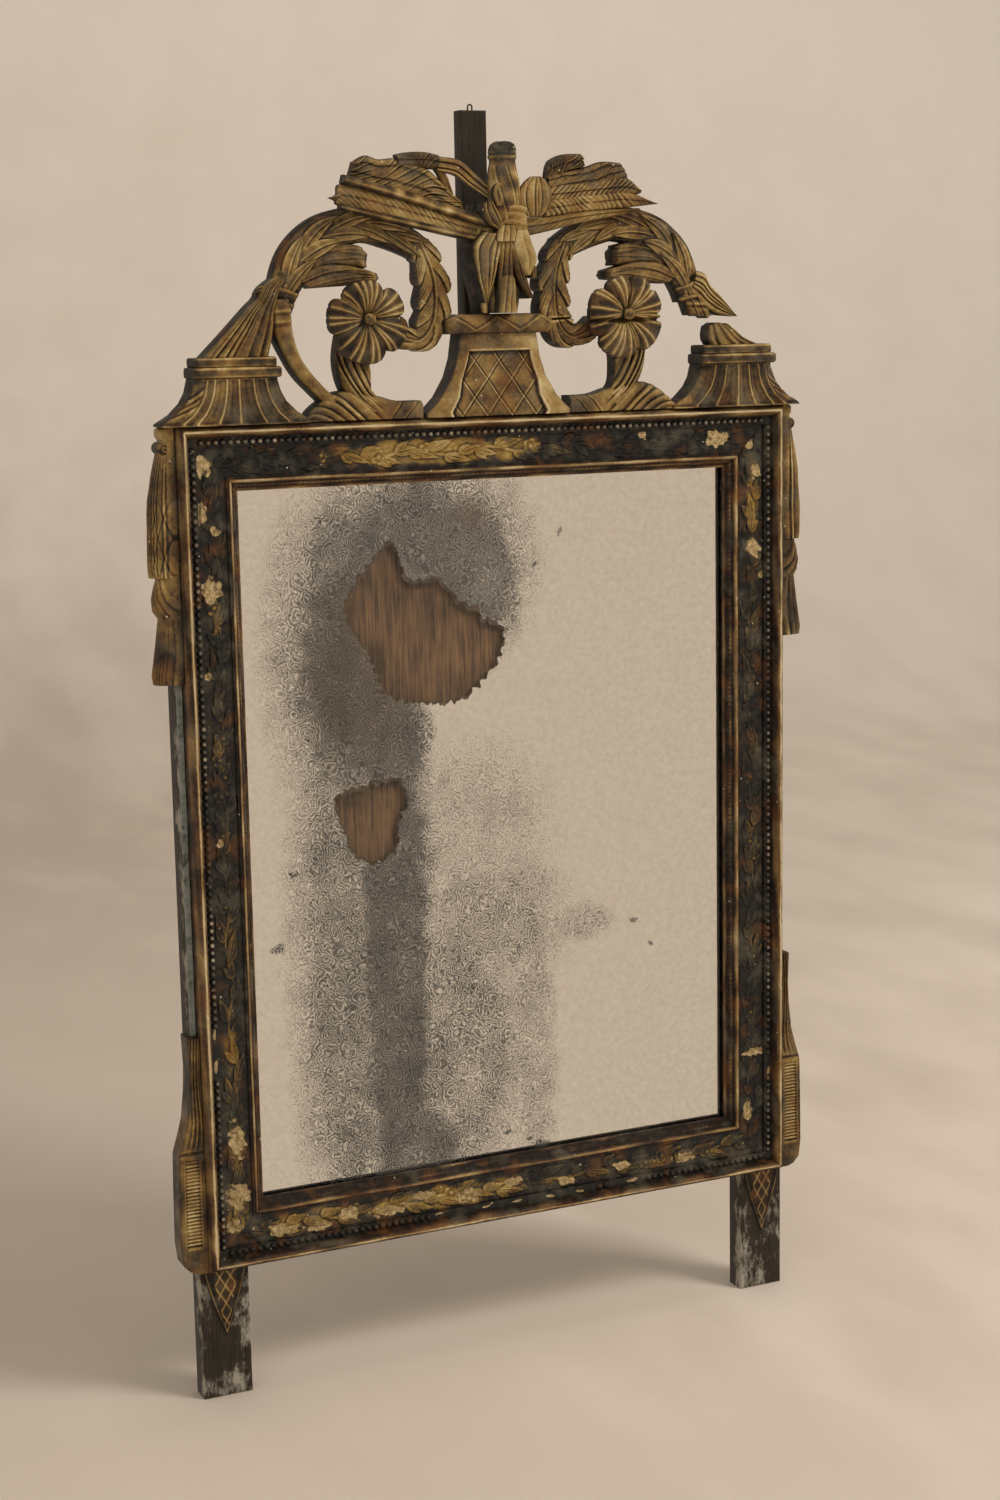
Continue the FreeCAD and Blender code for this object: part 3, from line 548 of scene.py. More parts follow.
def reeds(phase):
    """Rounded ridges with sharp grooves between, one for each whole step of phase."""
    return np.abs(np.sin(math.pi * phase))


def spaced(count, seed, low=-0.85, high=0.85):
    """Places for lines that were set out by eye: nearly even."""
    step = (high - low) / max(count - 1, 1)
    return np.linspace(low, high, count) + np.random.default_rng(seed).uniform(-0.3, 0.3, count) * step


def to_nearest(value, places):
    return np.min([np.abs(value - place) for place in places], axis=0)


def veins(value, places, width):
    """Thin raised lines, each with a thin groove beside it."""
    total = 0.0
    for place in places:
        total = total + hump(value - place, width) - 0.8 * hump(value - place - 1.9 * width, width)
    return total


def flutes(value, count, seed):
    """Uneven folds from -1 to 1: each is a broad plane that swells to a crest and drops into a groove."""
    draw = np.random.default_rng(seed)
    cuts = np.concatenate([[-1.0], spaced(count - 1, seed, -1 + 2 / count, 1 - 2 / count), [1.0]])
    fold = np.clip(np.searchsorted(cuts, value) - 1, 0, count - 1)
    share = unit((value - cuts[fold]) / (cuts[fold + 1] - cuts[fold]))
    top = draw.uniform(0.55, 0.85, count)[fold]
    swell = eased(share / top)
    drop = np.sqrt(unit(1 - (np.maximum(share - top, 0) / (1 - top)) ** 2))
    return draw.uniform(0.7, 1.0, count)[fold] * swell * drop


sample = flutes(np.linspace(-1, 1, 9), 4, 1)
print("heights ready: across four folds they are", [round(float(h), 2) for h in sample])

# %% [markdown]
# Hands and dusters rub the gold bright on the ridges, and soot stays in the grooves. So every body keeps
# a number at each point that says how rubbed it is, and the gilding reads it. The same number carries
# painted shade: it is lowered along the edge of each board and on its sides and back. Then the body
# becomes one named piece that rides on the frame and takes the place of its plain CAD nodes.

# %% Closed bodies and named pieces
# Painted shade: the sides and back of each board are darker, and so is the edge of its front
SIDE_PAINTED_SHADE_RUB = -0.15
EDGE_PAINTED_SHADE = 0.22
THINNEST_MM = 0.2
SHARP_DEGREES = 48
SAWN = np.random.default_rng(5)
SAWN_MM = 0.3
CREST_BACK = 0.0


def shell(front, back, rub):
    """A closed body between two grids of points, with how rubbed each front point is."""
    rows, cols = front.shape[:2]
    near = np.arange(rows * cols).reshape(rows, cols)
    far = near + rows * cols

    def quads(index):
        corners = [index[:-1, :-1], index[:-1, 1:], index[1:, 1:], index[1:, :-1]]
        return np.stack(corners, axis=-1).reshape(-1, 4)

    rim = np.concatenate([near[0], near[1:, -1], near[-1, -2::-1], near[-2:0:-1, 0]])
    ahead = np.roll(rim, -1)
    walls = np.stack([rim, rim + rows * cols, ahead + rows * cols, ahead], axis=-1)
    verts = np.concatenate([front.reshape(-1, 3), back.reshape(-1, 3)])
    faces = np.concatenate([quads(near)[:, ::-1], quads(far), walls])
    # The back points carry painted shade, which darkens the side walls
    return verts, faces, np.concatenate([rub.ravel(), np.full(rows * cols, SIDE_PAINTED_SHADE_RUB)])


def rubbed(height, reach=3, spread=1.1):
    """High places lose their dirt: about 1 on ridges, 0.5 on planes, 0 in grooves."""
    return np.clip(0.5 + (height - blurred(height, reach)) / spread, -0.3, 1.4)


def stood(x, forward, z, level):
    """Points of the scene from millimetres across, forward of the sight edge, and above a level."""
    return np.stack([x * MM, SIGHT_FRONT - forward * MM, level + z * MM], axis=-1)


def carved(flat, forward, back, level, rub=None, reach=3, spread=1.1, gold=0.0):
    """A closed carved board: a flat grid of x and z, how far its front stands forward, and its back."""
    if rub is None:
        rub = rubbed(forward, reach, spread)
    rub = rub + gold
    # Painted shade along the edge of each board, where it meets what lies behind
    rub[[0, -1]] -= EDGE_PAINTED_SHADE
    rub[:, [0, -1]] -= EDGE_PAINTED_SHADE
    back = np.minimum(back + SAWN.uniform(0, SAWN_MM), forward - THINNEST_MM)
    x, z = flat[..., 0], flat[..., 1]
    return shell(stood(x, forward, z, level), stood(x, back, z, level), rub)


def crest(flat, forward, back=CREST_BACK, rub=None, **how):
    """A carved board whose drawing starts at the top of the frame."""
    return carved(flat, forward, back, FRAME_TOP, rub, **how)


def flipped(shells):
    """The same carving for the other side of the mirror."""
    return [(verts * (-1, 1, 1), faces[:, ::-1], rub) for verts, faces, rub in shells]


HALVES = (("left", flipped), ("right", list))


def write_mark(mesh, name, values):
    """A number at every point, which the finishes read."""
    mesh.attributes.new(name, "FLOAT", "POINT").data.foreach_set("value", values.astype(np.float32))


def piece(name, shells, material, nodes, flake=None):
    """One named piece from its closed bodies, in place of its plain CAD nodes."""
    verts = np.concatenate([s[0] for s in shells])
    starts = np.cumsum([0] + [len(s[0]) for s in shells[:-1]])
    faces = np.concatenate([s[1] + start for s, start in zip(shells, starts)])
    mesh = bpy.data.meshes.new(name)
    mesh.from_pydata(verts.tolist(), [], faces.tolist())
    write_mark(mesh, "rub", np.concatenate([s[2] for s in shells]))
    if flake is not None:
        write_mark(mesh, "flake", np.concatenate([flake.ravel(), np.zeros(flake.size)]))
    outward = bmesh.new()
    outward.from_mesh(mesh)
    bmesh.ops.recalc_face_normals(outward, faces=outward.faces)
    outward.to_mesh(mesh)
    outward.free()
    mesh.materials.append(material)
    mesh.shade_smooth()
    mesh.set_sharp_from_angle(angle=math.radians(SHARP_DEGREES))
    made = bpy.data.objects.new(name, mesh)
    bpy.context.scene.collection.objects.link(made)
    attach(made, "root")
    if nodes:
        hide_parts(*nodes)
    print(name, len(mesh.polygons), "faces")
    return made


def carve(name, shells, *nodes):
    """A gilded carving in place of its plain nodes."""
    return piece(name, shells, carved_gilt, nodes)


print("tools ready")

# %% [markdown]
# ## The border
# Four mouldings run round the glass: a fluted sight moulding, a flat frieze with low foliage, a string
# of beads, and a raised rim. Straight mouldings were planed in one go, so a section swept along each
# side is the honest way. The grid also lets every arris waver and chip a little, as old wood does. The
# mitres come from the geometry: a line further out runs longer.

# %% Swept mouldings
SIGHT_W_MM = (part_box("right_sight_moulding")[0].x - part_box("left_sight_moulding")[1].x) / MM
SIGHT_H_MM = (SIGHT_HIGH - SIGHT_LOW) / MM
GROUND_MM = 3.0
SIDES = ("left", "right", "top", "bottom")


def side_point(side, out, along):
    """A place on one side of the border: distance out from the sight edge, and place along."""
    half = SIGHT_W_MM / 2
    flat = {
        "bottom": (along, -out),
        "top": (along, SIGHT_H_MM + out),
        "left": (-half - out, along),
        "right": (half + out, along),
    }[side]
    return np.stack(flat, axis=-1)


def side_net(side, outs, step):
    """Rows along a side and columns across its moulding, mitred at both ends."""
    outs = np.asarray(outs, dtype=float)
    if side in ("bottom", "top"):
        start, end = -SIGHT_W_MM / 2 - outs, SIGHT_W_MM / 2 + outs
    else:
        start, end = -outs, SIGHT_H_MM + outs
    rows = int((end.max() - start.min()) / step)
    share = np.linspace(0, 1, rows)[:, None]
    along = start + (end - start) * share
    return np.broadcast_to(outs, along.shape), along


def rounded_section(points, step):
    """Even steps of about one length along a drawn section."""
    drawn = np.array(points, dtype=float)
    length = np.cumsum(np.linalg.norm(np.diff(drawn[:, :2], axis=0), axis=1))[-1]
    return even_steps(drawn, max(int(length / step), 2))


def nicks(along, seed, count, depth):
    """Chips along an arris: a depth for each place along."""
    draw = np.random.default_rng(seed)
    low, high = along.min(), along.max()
    total = np.zeros_like(along)
    for _ in range(count):
        place = draw.uniform(low, high)
        length = draw.uniform(1.5, 6.0)
        total = np.maximum(total, depth * draw.uniform(0.3, 1.0) * hump(along - place, length))
    return total


# Out from the sight edge, forward of it, and how rubbed the gilding is there
SIGHT_SECTION = [
    (0, -2.8, -0.2), (0, 0.9, 0.5), (2.4, 1.2, 0.15), (2.9, 2.6, -0.1), (4.0, 4.8, 0.1), (5.4, 6.2, 0.3),
    (6.7, 6.3, -0.3), (7.3, 7.8, 0.2), (8.4, 9.9, 0.75), (9.6, 10.9, 0.85), (10.6, 11.0, 0.3),
    (11.2, 10.2, -0.35), (13.0, 10.6, -0.3),
]
RIM_SECTION = [
    (46, 11.0, -0.3), (47.2, 14.6, 0.2), (49, 19.6, 0.45), (50.6, 21.4, 0.6), (51.3, 21.8, 1.2),
    (52.2, 21.8, 1.2), (52.9, 21.3, 0.5), (53.8, 20.6, 0.42), (55.6, 17.2, 0.42), (56.8, 13.6, 0.5),
    (57, 11.8, 0.3), (57, 3.2, 0.0),
]
# Name, section, back and how deep its chips are
RUNS = (("sight_moulding", SIGHT_SECTION, -2.9, 0.5), ("rim", RIM_SECTION, GROUND_MM, 1.1))
SECTION_STEP = 0.6
RUN_STEP = 1.4
NICKS_PER_SIDE = 26
SHARP_ARRIS = 0.55
TICK_MM = 4.2
TICKED = (3.2, 6.6)
SIDE_GOLD = {"left": -0.05, "right": -0.05, "top": 0.08, "bottom": -0.28}
for number, side in enumerate(SIDES):
    for name, section, back, chip in RUNS:
        line = rounded_section(section, SECTION_STEP)
        out, along = side_net(side, line[:, 0], RUN_STEP)
        forward = np.broadcast_to(line[:, 1], along.shape)
        rub = np.broadcast_to(line[:, 2], along.shape) + 0.22 * wobble(along, 9 * out, 46, 20 + number)
        chipped = nicks(along, 40 + number, NICKS_PER_SIDE, chip) * (rub > SHARP_ARRIS)
        wear = 0.22 * wobble(along, 3 * out, 17, number) + chipped
        ticks = reeds(along / TICK_MM) * (out > TICKED[0]) * (out < TICKED[1]) * (name != "rim")
        rub = rub + 0.35 * (ticks - 0.5) * (ticks > 0)
        height = forward - np.abs(wear) - 0.7 * (1 - ticks) * (ticks > 0)
        made = carved(side_point(side, out, along), height, back, SIGHT_LOW, rub, gold=SIDE_GOLD[side])
        piece(side + "_" + name + "_run", [made], rim_gilt, [side + "_" + name])

# %% [markdown]
# The beads were turned on a thin rod, split and glued into the groove under the rim. Short lengths have
# come away and left chips of pale glue and gesso. Each is half a ball standing on the strip's grid. Its
# crown is pale, as rubbed gilt and a painted highlight, and the ground between the beads is painted dark
# as shade.

# %% Bead strings
BEAD_MIDDLE = 42.5
BEAD_R = 3.05
BEAD_PITCH = 6.6
BEAD_SEAT = 11.0
BEAD_STEP = 0.55
STRIP_OUTS = np.linspace(39.0, 46.0, 17)
FIRST_BEAD_OUT = 39.7
LOST_BEADS = {"left": [(122, 168)], "right": [(38, 62)], "top": [], "bottom": [(-80, 92), (108, 142)]}
BEAD_GOLD = {"left": 0.0, "right": -0.1, "top": 0.1, "bottom": -0.55}
for number, side in enumerate(SIDES):
    out, along = side_net(side, STRIP_OUTS, BEAD_STEP)
    ends = side_net(side, [FIRST_BEAD_OUT, FIRST_BEAD_OUT], 100.0)[1]
    count = int((ends.max() - ends.min()) / BEAD_PITCH)
    first = (ends.max() + ends.min() - (count - 1) * BEAD_PITCH) / 2
    index = np.clip(np.round((along - first) / BEAD_PITCH), 0, count - 1).astype(int)
    place = first + BEAD_PITCH * index
    kept = np.ones_like(along)
    for low, high in LOST_BEADS[side]:
        kept = kept * ((place < low) | (place > high))
    away = np.hypot(along - place, out - BEAD_MIDDLE)
    ball = kept * np.sqrt(np.clip(BEAD_R ** 2 - away ** 2, 0, None)) / BEAD_R
    shade = np.random.default_rng(60 + number).uniform(-0.3, 0.25, count)[index]
    # Painted highlight on each crown, and painted shade on the ground between the beads
    rub = -0.35 + kept * (ball > 0) * (0.2 + 1.1 * ball ** 3 + shade) + BEAD_GOLD[side]
    glue = 0.15 + 0.6 * wobble(along, 3 * out, 19, 66) - np.abs(out - BEAD_MIDDLE) / 8
    made = carved(side_point(side, out, along), BEAD_SEAT + BEAD_R * ball, GROUND_MM, SIGHT_LOW, rub)
    flake = (1 - kept) * unit(glue)
    piece(side + "_bead_string", [made], bead_gilt, [side + "_bead_strip"], flake=flake)

# %% [markdown]
# The frieze carries a running spray of leaves with a flower now and then, in relief no deeper than a
# coin. It is stamped into a fine grid: each leaf adds its height where it lies. Gesso has flaked off in
# patches, which sink the surface and are marked for the finish.

# %% Frieze of low foliage
FRIEZE_IN = 13.0
FRIEZE_OUT = 39.0
FRIEZE_MIDDLE = (FRIEZE_IN + FRIEZE_OUT) / 2
FRIEZE_GROUND = 8.6
FRIEZE_STEP = 0.7
RELIEF_MM = 2.4
FLAKE_DEEP_MM = 0.9
SPRAY_STEP = 17.0
WAVE_MM = 74
WAVE_BY = 3.0
FLOWER_SHARE = 0.2
FLOWER_R = 8.0
# Spread from the stem, and length, of the two leaves of a pair
LEAF_PAIR = ((0.25, 1.0), (0.62, 0.62))


def leaf_mark(a, o, a0, o0, angle, length, half):
    """The height, 0 to 1, of one low leaf on the frieze."""
    s = ((a - a0) * math.cos(angle) + (o - o0) * math.sin(angle)) / length
    t = (-(a - a0) * math.sin(angle) + (o - o0) * math.cos(angle)) / half
    width = np.sin(math.pi * unit(s) ** 0.8) + 1e-3
    body = unit(1 - (t / width) ** 2) ** 0.5 * ((s > 0) & (s < 1))
    return body * (1 - 0.45 * hump(t, 0.14) - 0.3 * hump(np.abs(t) - 0.5 * width, 0.12))


def flower_mark(a, o, a0, o0, radius):
    r = np.hypot(a - a0, o - o0) / radius
    petal = 0.72 + 0.28 * np.abs(np.cos(2.5 * np.arctan2(o - o0, a - a0)))
    return unit(1 - (r / petal) ** 4) * (0.65 + 0.35 * np.cos(2.2 * math.pi * np.minimum(r, 1)))


# Place along, place out and half lengths: where the gesso has flaked off
FLAKES = {
    "left": [(658, 33, 13, 10), (618, 36, 14, 6), (602, 24, 6, 6), (551, 29, 14, 13), (477, 35, 5, 4),
             (60, 26, 22, 10), (8, 27, 17, 15), (330, 30, 5, 4), (-20, 30, 8, 12)],
    "right": [(656, 23, 9, 8), (630, 31, 10, 7), (558, 28, 12, 13), (532, 37, 5, 4), (5, 21, 14, 6),
              (65, 30, 5, 20)],
    "top": [(228, 27, 16, 10), (150, 33, 7, 5)],
    "bottom": [(-225, 30, 20, 9), (-190, 33, 17, 6), (-160, 26, 15, 8), (-120, 30, 23, 8), (-85, 22, 13, 6),
               (-40, 30, 17, 9), (5, 24, 14, 6), (60, 32, 13, 6), (120, 27, 12, 6), (190, 30, 15, 7)],
}
# The same and a strength: where the smoke was rubbed off to the gold, or lies thicker
SMEARS = {
    "left": [(530, 27, 26, 6, 0.45), (300, 26, 160, 5, 0.2), (90, 27, 80, 8, 0.3), (-10, 27, 26, 12, 0.4)],
    "right": [(600, 27, 40, 7, 0.42), (470, 26, 60, 6, 0.22), (250, 26, 140, 6, 0.14),
              (80, 27, 40, 6, 0.25)],
    "top": [(-60, 27, 110, 12, 0.72), (-205, 26, 62, 18, -0.3), (165, 24, 84, 18, -0.28),
            (175, 32, 18, 5, 0.3)],
    "bottom": [(-190, 26, 60, 12, 0.42), (-60, 27, 84, 11, 0.55), (120, 30, 120, 5, 0.3)],
}


def patch(along, out, where, seed, ragged=0.22, wave=8):
    """1 in the middle of a ragged oval, falling to 0 at its edge."""
    a0, o0, half_a, half_o = where
    ring = np.hypot((along - a0) / half_a, (out - o0) / half_o)
    return unit(1.15 - ring + ragged * wobble(along, out, wave, seed))


for number, side in enumerate(SIDES):
    out, along = side_net(side, np.linspace(FRIEZE_IN, FRIEZE_OUT, 41), FRIEZE_STEP)
    draw = np.random.default_rng(70 + number)
    wave = WAVE_BY * np.sin(2 * math.pi * along / WAVE_MM + number)
    relief = 0.5 * hump(out - FRIEZE_MIDDLE - wave, 1.3)
    place = along.min() + 16
    turn = 1
    while place < along.max() - 30:
        start = FRIEZE_MIDDLE + WAVE_BY * math.sin(2 * math.pi * place / WAVE_MM + number)
        if draw.uniform() < FLOWER_SHARE:
            flower = flower_mark(along, out, place, FRIEZE_MIDDLE + 2 * turn, FLOWER_R)
            relief = np.maximum(relief, 1.1 * flower)
        for spread, shorter in LEAF_PAIR:
            angle = turn * (spread + draw.uniform(-0.12, 0.12))
            length = draw.uniform(22, 31) * shorter
            leaf = leaf_mark(along, out, place, start, angle, length, draw.uniform(3.6, 5.0))
            relief = np.maximum(relief, leaf)
        place += SPRAY_STEP * draw.uniform(0.75, 1.15)
        turn = -turn
    relief = relief * unit(np.minimum(out - FRIEZE_IN, FRIEZE_OUT - out) / 2.0)
    flake = np.zeros_like(out)
    for where in FLAKES[side]:
        flake = np.maximum(flake, patch(along, out, where, int(abs(where[0]))))
    forward = FRIEZE_GROUND + RELIEF_MM * relief + 0.12 * wobble(along, out, 5, number)
    forward = forward - FLAKE_DEEP_MM * unit(2 * flake - 0.6)
    # Leaf ridges paler: rubbed gilt, and a painted highlight standing in for their sheen
    rub = 0.42 + 0.9 * (rubbed(forward, 3, 1.6) - 0.5)
    for *where, strength in SMEARS[side]:
        rub = rub + strength * unit(2.5 * patch(along, out, where, 90 + number, 0.2, 26))
    made = carved(side_point(side, out, along), forward, GROUND_MM, SIGHT_LOW, rub)
    piece(side + "_frieze_carving", [made], frieze_gilt, [side + "_frieze"], flake=flake)

# %% [markdown]
# ## Frame boards, legs and post
# The stiles run down past the border and become the legs. A sawn board is a box, but an old one has soft
# arrises, dents and split ends, so it is a grid too, with its edges rolled off. The back keeps its
# rebate for the backboards.

# %% Stiles, legs and post
STILE_IN = 246.0
STILE_OUT = 302.0
LEG_IN = 256.0
REBATE_X = 258.0
REBATE_BACK = -12.0
BOARD_BACK = -20.0
FOOT_MM = -180.5
POST_HALF = 12.5
POST_DOWN = 48
POST_UP = 265.5
POST_FRONT = -20.0
POST_BACK = -37.0
FRAME_LOW_MM = (FRAME_LOW - SIGHT_LOW) / MM
FRAME_TOP_MM = (FRAME_TOP - SIGHT_LOW) / MM
SOFT_EDGE = np.array([0.0, 0.3, 0.8])
BOARD_STEP = 3.0


def to_edge(x, z, x_low, x_high, z_low, z_high):
    """How far each point lies inside an upright rectangle."""
    return np.minimum(np.minimum(x - x_low, x_high - x), np.minimum(z - z_low, z_high - z))


def softened(low, high, roll, count):
    """Even steps with closer ones where the two edges roll off."""
    middle = np.linspace(low + roll, high - roll, count)
    return np.concatenate([low + roll * SOFT_EDGE, middle, high - roll * SOFT_EDGE[::-1]])


def board(x_low, x_high, z_low, z_high, front, back, seed, roll=1.6):
    """An old board: rolled arrises, a little unevenness. back is a level, or a function of x."""
    columns = softened(x_low, x_high, roll, max(int((x_high - x_low) / BOARD_STEP), 4))
    if callable(back):
        columns = np.sort(np.concatenate([columns, [REBATE_X - 0.01, REBATE_X + 0.01]]))
    z, x = grid(softened(z_low, z_high, roll, int((z_high - z_low) / BOARD_STEP) + 2), columns)
    edge = to_edge(x, z, x_low, x_high, z_low, z_high)
    rolled = roll * (1 - np.sqrt(1 - unit(1 - edge / roll) ** 2))
    uneven = 0.25 * wobble(x, 0.3 * z, 14, seed) * unit(edge / roll)
    forward = front - rolled + np.minimum(uneven, 0)
    depth = back(x) if callable(back) else np.full_like(x, back)
    rub = unit(0.35 + rolled / roll)
    return carved(laid(x, z), forward, depth + 0.6 * rolled, SIGHT_LOW, rub)


def rebated(x):
    return np.where(np.abs(x) < REBATE_X, REBATE_BACK, BOARD_BACK)


upright = board(STILE_IN, STILE_OUT, FRAME_LOW_MM - 1, FRAME_TOP_MM, GROUND_MM, rebated, 81)
leg = board(LEG_IN, STILE_OUT - 0.2, FOOT_MM, FRAME_LOW_MM + 2, GROUND_MM - 0.1, BOARD_BACK + 0.1, 82)
for side, turn in HALVES:
    piece(side + "_stile_board", turn([upright, leg]), frame_wood, [side + "_stile"])
post = board(-POST_HALF, POST_HALF, FRAME_TOP_MM - POST_DOWN, FRAME_TOP_MM + POST_UP,
             POST_FRONT, POST_BACK, 83, 1.8)
piece("crest_post_board", [post], post_wood, ["crest_post"])

# %% [markdown]
# Beside the rim, the stile's narrow ledge was repainted in a grey green between the drop and the
# console.

# %% Painted ledges
LEDGE_IN = 296.3
LEDGE_LOW = 150.0
LEDGE_HIGH = 478.0
LEDGE_TONES = ((0.36, "#3b372d"), (0.46, "#75776c"), (0.64, "#94948a"))
ledge_paint, tree, shader, spot = finish("lime_paint_grey_green_rubbed")
worn = summed(tree, 0.0, (cloud(tree, spot, 7.0, 5.0, 0.7), 0.7), (cloud(tree, spot, 60.0), 0.3))
fill(tree, shader, {"Base Color": ramp(tree, worn, *LEDGE_TONES), "Roughness": 0.8})
ledge = board(LEDGE_IN, STILE_OUT - 0.1, LEDGE_LOW, LEDGE_HIGH, GROUND_MM + 0.6, GROUND_MM - 1.0, 84, 0.8)
for side, turn in HALVES:
    piece(side + "_painted_ledge", turn([ledge]), ledge_paint, [])

# %% [markdown]
# Each leg has a pointed panel of gilded lattice near its top, the last of the ornament below the border.

# %% Leg lattice
LATTICE_TOP = -59.0
LATTICE_TIP = -121.0
LATTICE_HALF = 19.0
LATTICE_MM = 10.0
LATTICE_SLOPE = 0.6
LEG_MIDDLE = (LEG_IN + STILE_OUT) / 2


def leg_lattice():
    along, across = net(80, 61)
    half = LATTICE_HALF * (1 - along ** 1.3) + 0.6
    z = LATTICE_TOP + (LATTICE_TIP - LATTICE_TOP) * along
    u = half * across
    edge = half * (1 - np.abs(across))
    inside = limits_of(0.62 * half - np.abs(u), 0.0, 0.8)
    slants = (u + LATTICE_SLOPE * z, u - LATTICE_SLOPE * z)
    lines = unit(sum(hump(slant / LATTICE_MM % 1 - 0.5, 0.09) for slant in slants))
    forward = GROUND_MM + 1.0 + 0.7 * inside * lines + 0.8 * hump(edge - 1.4, 0.9)
    rub = -0.2 + inside * (0.45 + 0.6 * lines) + 0.8 * hump(edge - 1.4, 0.8)
    return [carved(laid(LEG_MIDDLE + u, z), forward, GROUND_MM - 1.0, SIGHT_LOW, rub)]


for side, turn in HALVES:
    carve(side + "_leg_lattice", turn(leg_lattice()))

# %% [markdown]
# ## The plate
# The glass is a thin old plate with tin foil and mercury behind it. It is clear and lets the lamps
# through, so that the wood behind the two holes in the foil is lit. Its refraction is set low, since the
# old, dull face throws back little. The holes are torn, so their drawn outlines get two sizes of ragged
# teeth before the sheet is filled round them. A dark rim clings to each edge, widened along the upper
# edge into a painted shadow of the foil's edge.

# %% Glass and torn foil
GLASS_X = 244.5
GLASS_LOW = -5.5
GLASS_HIGH = 640.0
GLASS_FRONT = -3.1
GLASS_BACK = -6.85
LARGE_HOLE = [
    (-92, 584), (-82, 553), (-70, 547), (-50, 547), (-27, 524), (-12, 519), (-6, 508), (6, 505), (15, 490),
    (6, 467), (-15, 445), (-32, 434), (-62, 434), (-95, 440), (-110, 455), (-119, 482), (-133, 504),
    (-142, 520), (-137, 540), (-118, 563), (-103, 580),
]
SMALL_HOLE = [
    (-98, 371), (-88, 361), (-87, 341), (-95, 325), (-94, 309), (-108, 297), (-125, 293), (-140, 305),
    (-147, 326), (-157, 350), (-149, 361), (-129, 365), (-114, 370),
]
TOOTH_MM = 2.0
STEPS_PER_POINT = 16.8
DARK_RIM_AND_SHADOW_MM = 0.35

glass, tree, shader, spot = finish("cylinder_glass_polished")
fill(tree, shader, {"Base Color": "#fdfaf5", "Transmission Weight": 1.0, "IOR": 1.25, "Roughness": 0.0})
along, across = net(30, 20)
flat = laid(GLASS_X * across, GLASS_LOW + (GLASS_HIGH - GLASS_LOW) * along)
plate = carved(flat, np.full_like(along, GLASS_FRONT), GLASS_BACK, SIGHT_LOW)
plate = piece("old_glass_plate", [plate], glass, ["mirror_glass"])
plate.visible_shadow = False


def torn(points, seed):
    """A closed ragged line round a drawn hole, and the direction into the hole at each point."""
    line = smooth_line(points + points[:1], int(STEPS_PER_POINT * len(points)))[:-1]
    ahead = np.roll(line, -1, axis=0) - np.roll(line, 1, axis=0)
    inward = laid(ahead[:, 1], -ahead[:, 0]) / np.linalg.norm(ahead, axis=1)[:, None]
    tooth = TOOTH_MM * rough(line, 8, seed) + 0.5 * TOOTH_MM * rough(line, 3, seed + 1)
    return line + inward * tooth[:, None], inward


TORN_EDGES = [torn(LARGE_HOLE, 85), torn(SMALL_HOLE, 87)]
foil_low, foil_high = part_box("tin_silvering")


def foil_shell():
    """A thin sheet filled between its outer edge and the torn holes."""
    sheet = bmesh.new()
    corners = [(foil_low.x, foil_low.z), (foil_high.x, foil_low.z),
               (foil_high.x, foil_high.z), (foil_low.x, foil_high.z)]
    loops = [corners] + [[(x * MM, SIGHT_LOW + z * MM) for x, z in edge] for edge, _ in TORN_EDGES]
    for loop in loops:
        points = [sheet.verts.new((x, foil_low.y, z)) for x, z in loop]
        for one, other in zip(points, points[1:] + points[:1]):
            sheet.edges.new((one, other))
    bmesh.ops.triangle_fill(sheet, use_beauty=True, edges=sheet.edges[:])
    grown = bmesh.ops.extrude_face_region(sheet, geom=sheet.faces[:])["geom"]
    moved = [v for v in grown if isinstance(v, bmesh.types.BMVert)]
    bmesh.ops.translate(sheet, vec=(0, foil_high.y - foil_low.y, 0), verts=moved)
    bmesh.ops.triangulate(sheet, faces=sheet.faces[:])
    sheet.verts.index_update()
    verts = np.array([v.co[:] for v in sheet.verts])
    faces = np.array([[v.index for v in face.verts] for face in sheet.faces])
    sheet.free()
    return verts, faces, np.zeros(len(verts))


def dark_rim_and_shadow_shell(edge, inward, seed):
    """A ragged dark rim just behind the foil, widened along the upper edge as a painted shadow."""
    line = np.vstack([edge, edge[:1]])
    into = np.vstack([inward, inward[:1]])
    # The extra width along the upper edge is painted shadow of the foil's edge
    width = 1.4 + 4.2 * np.maximum(-into[:, 1] - 0.2, 0) + 1.3 * rough(line, 9, seed)
    share = np.linspace(-0.4, 1, 4)[None, :, None]
    flat = line[:, None] + into[:, None] * np.maximum(width, 0.4)[:, None, None] * share
    behind = (SIGHT_FRONT - foil_high.y) / MM - 0.05
    return carved(flat, np.full(flat.shape[:2], behind), behind - DARK_RIM_AND_SHADOW_MM, SIGHT_LOW)


# %% [markdown]
# The tin has crystallised from the left: grey where the mercury has gone, and a stippled fade of small
# curling marks between the grey and the clear silver. A few soft ovals say how much is lost where. A
# pattern of rings round scattered points, bent by noise, and fine specks are held against that amount,
# so the marks crowd together towards the grey. The ovals are pushed about by noise too, so that the grey
# has ragged edges.

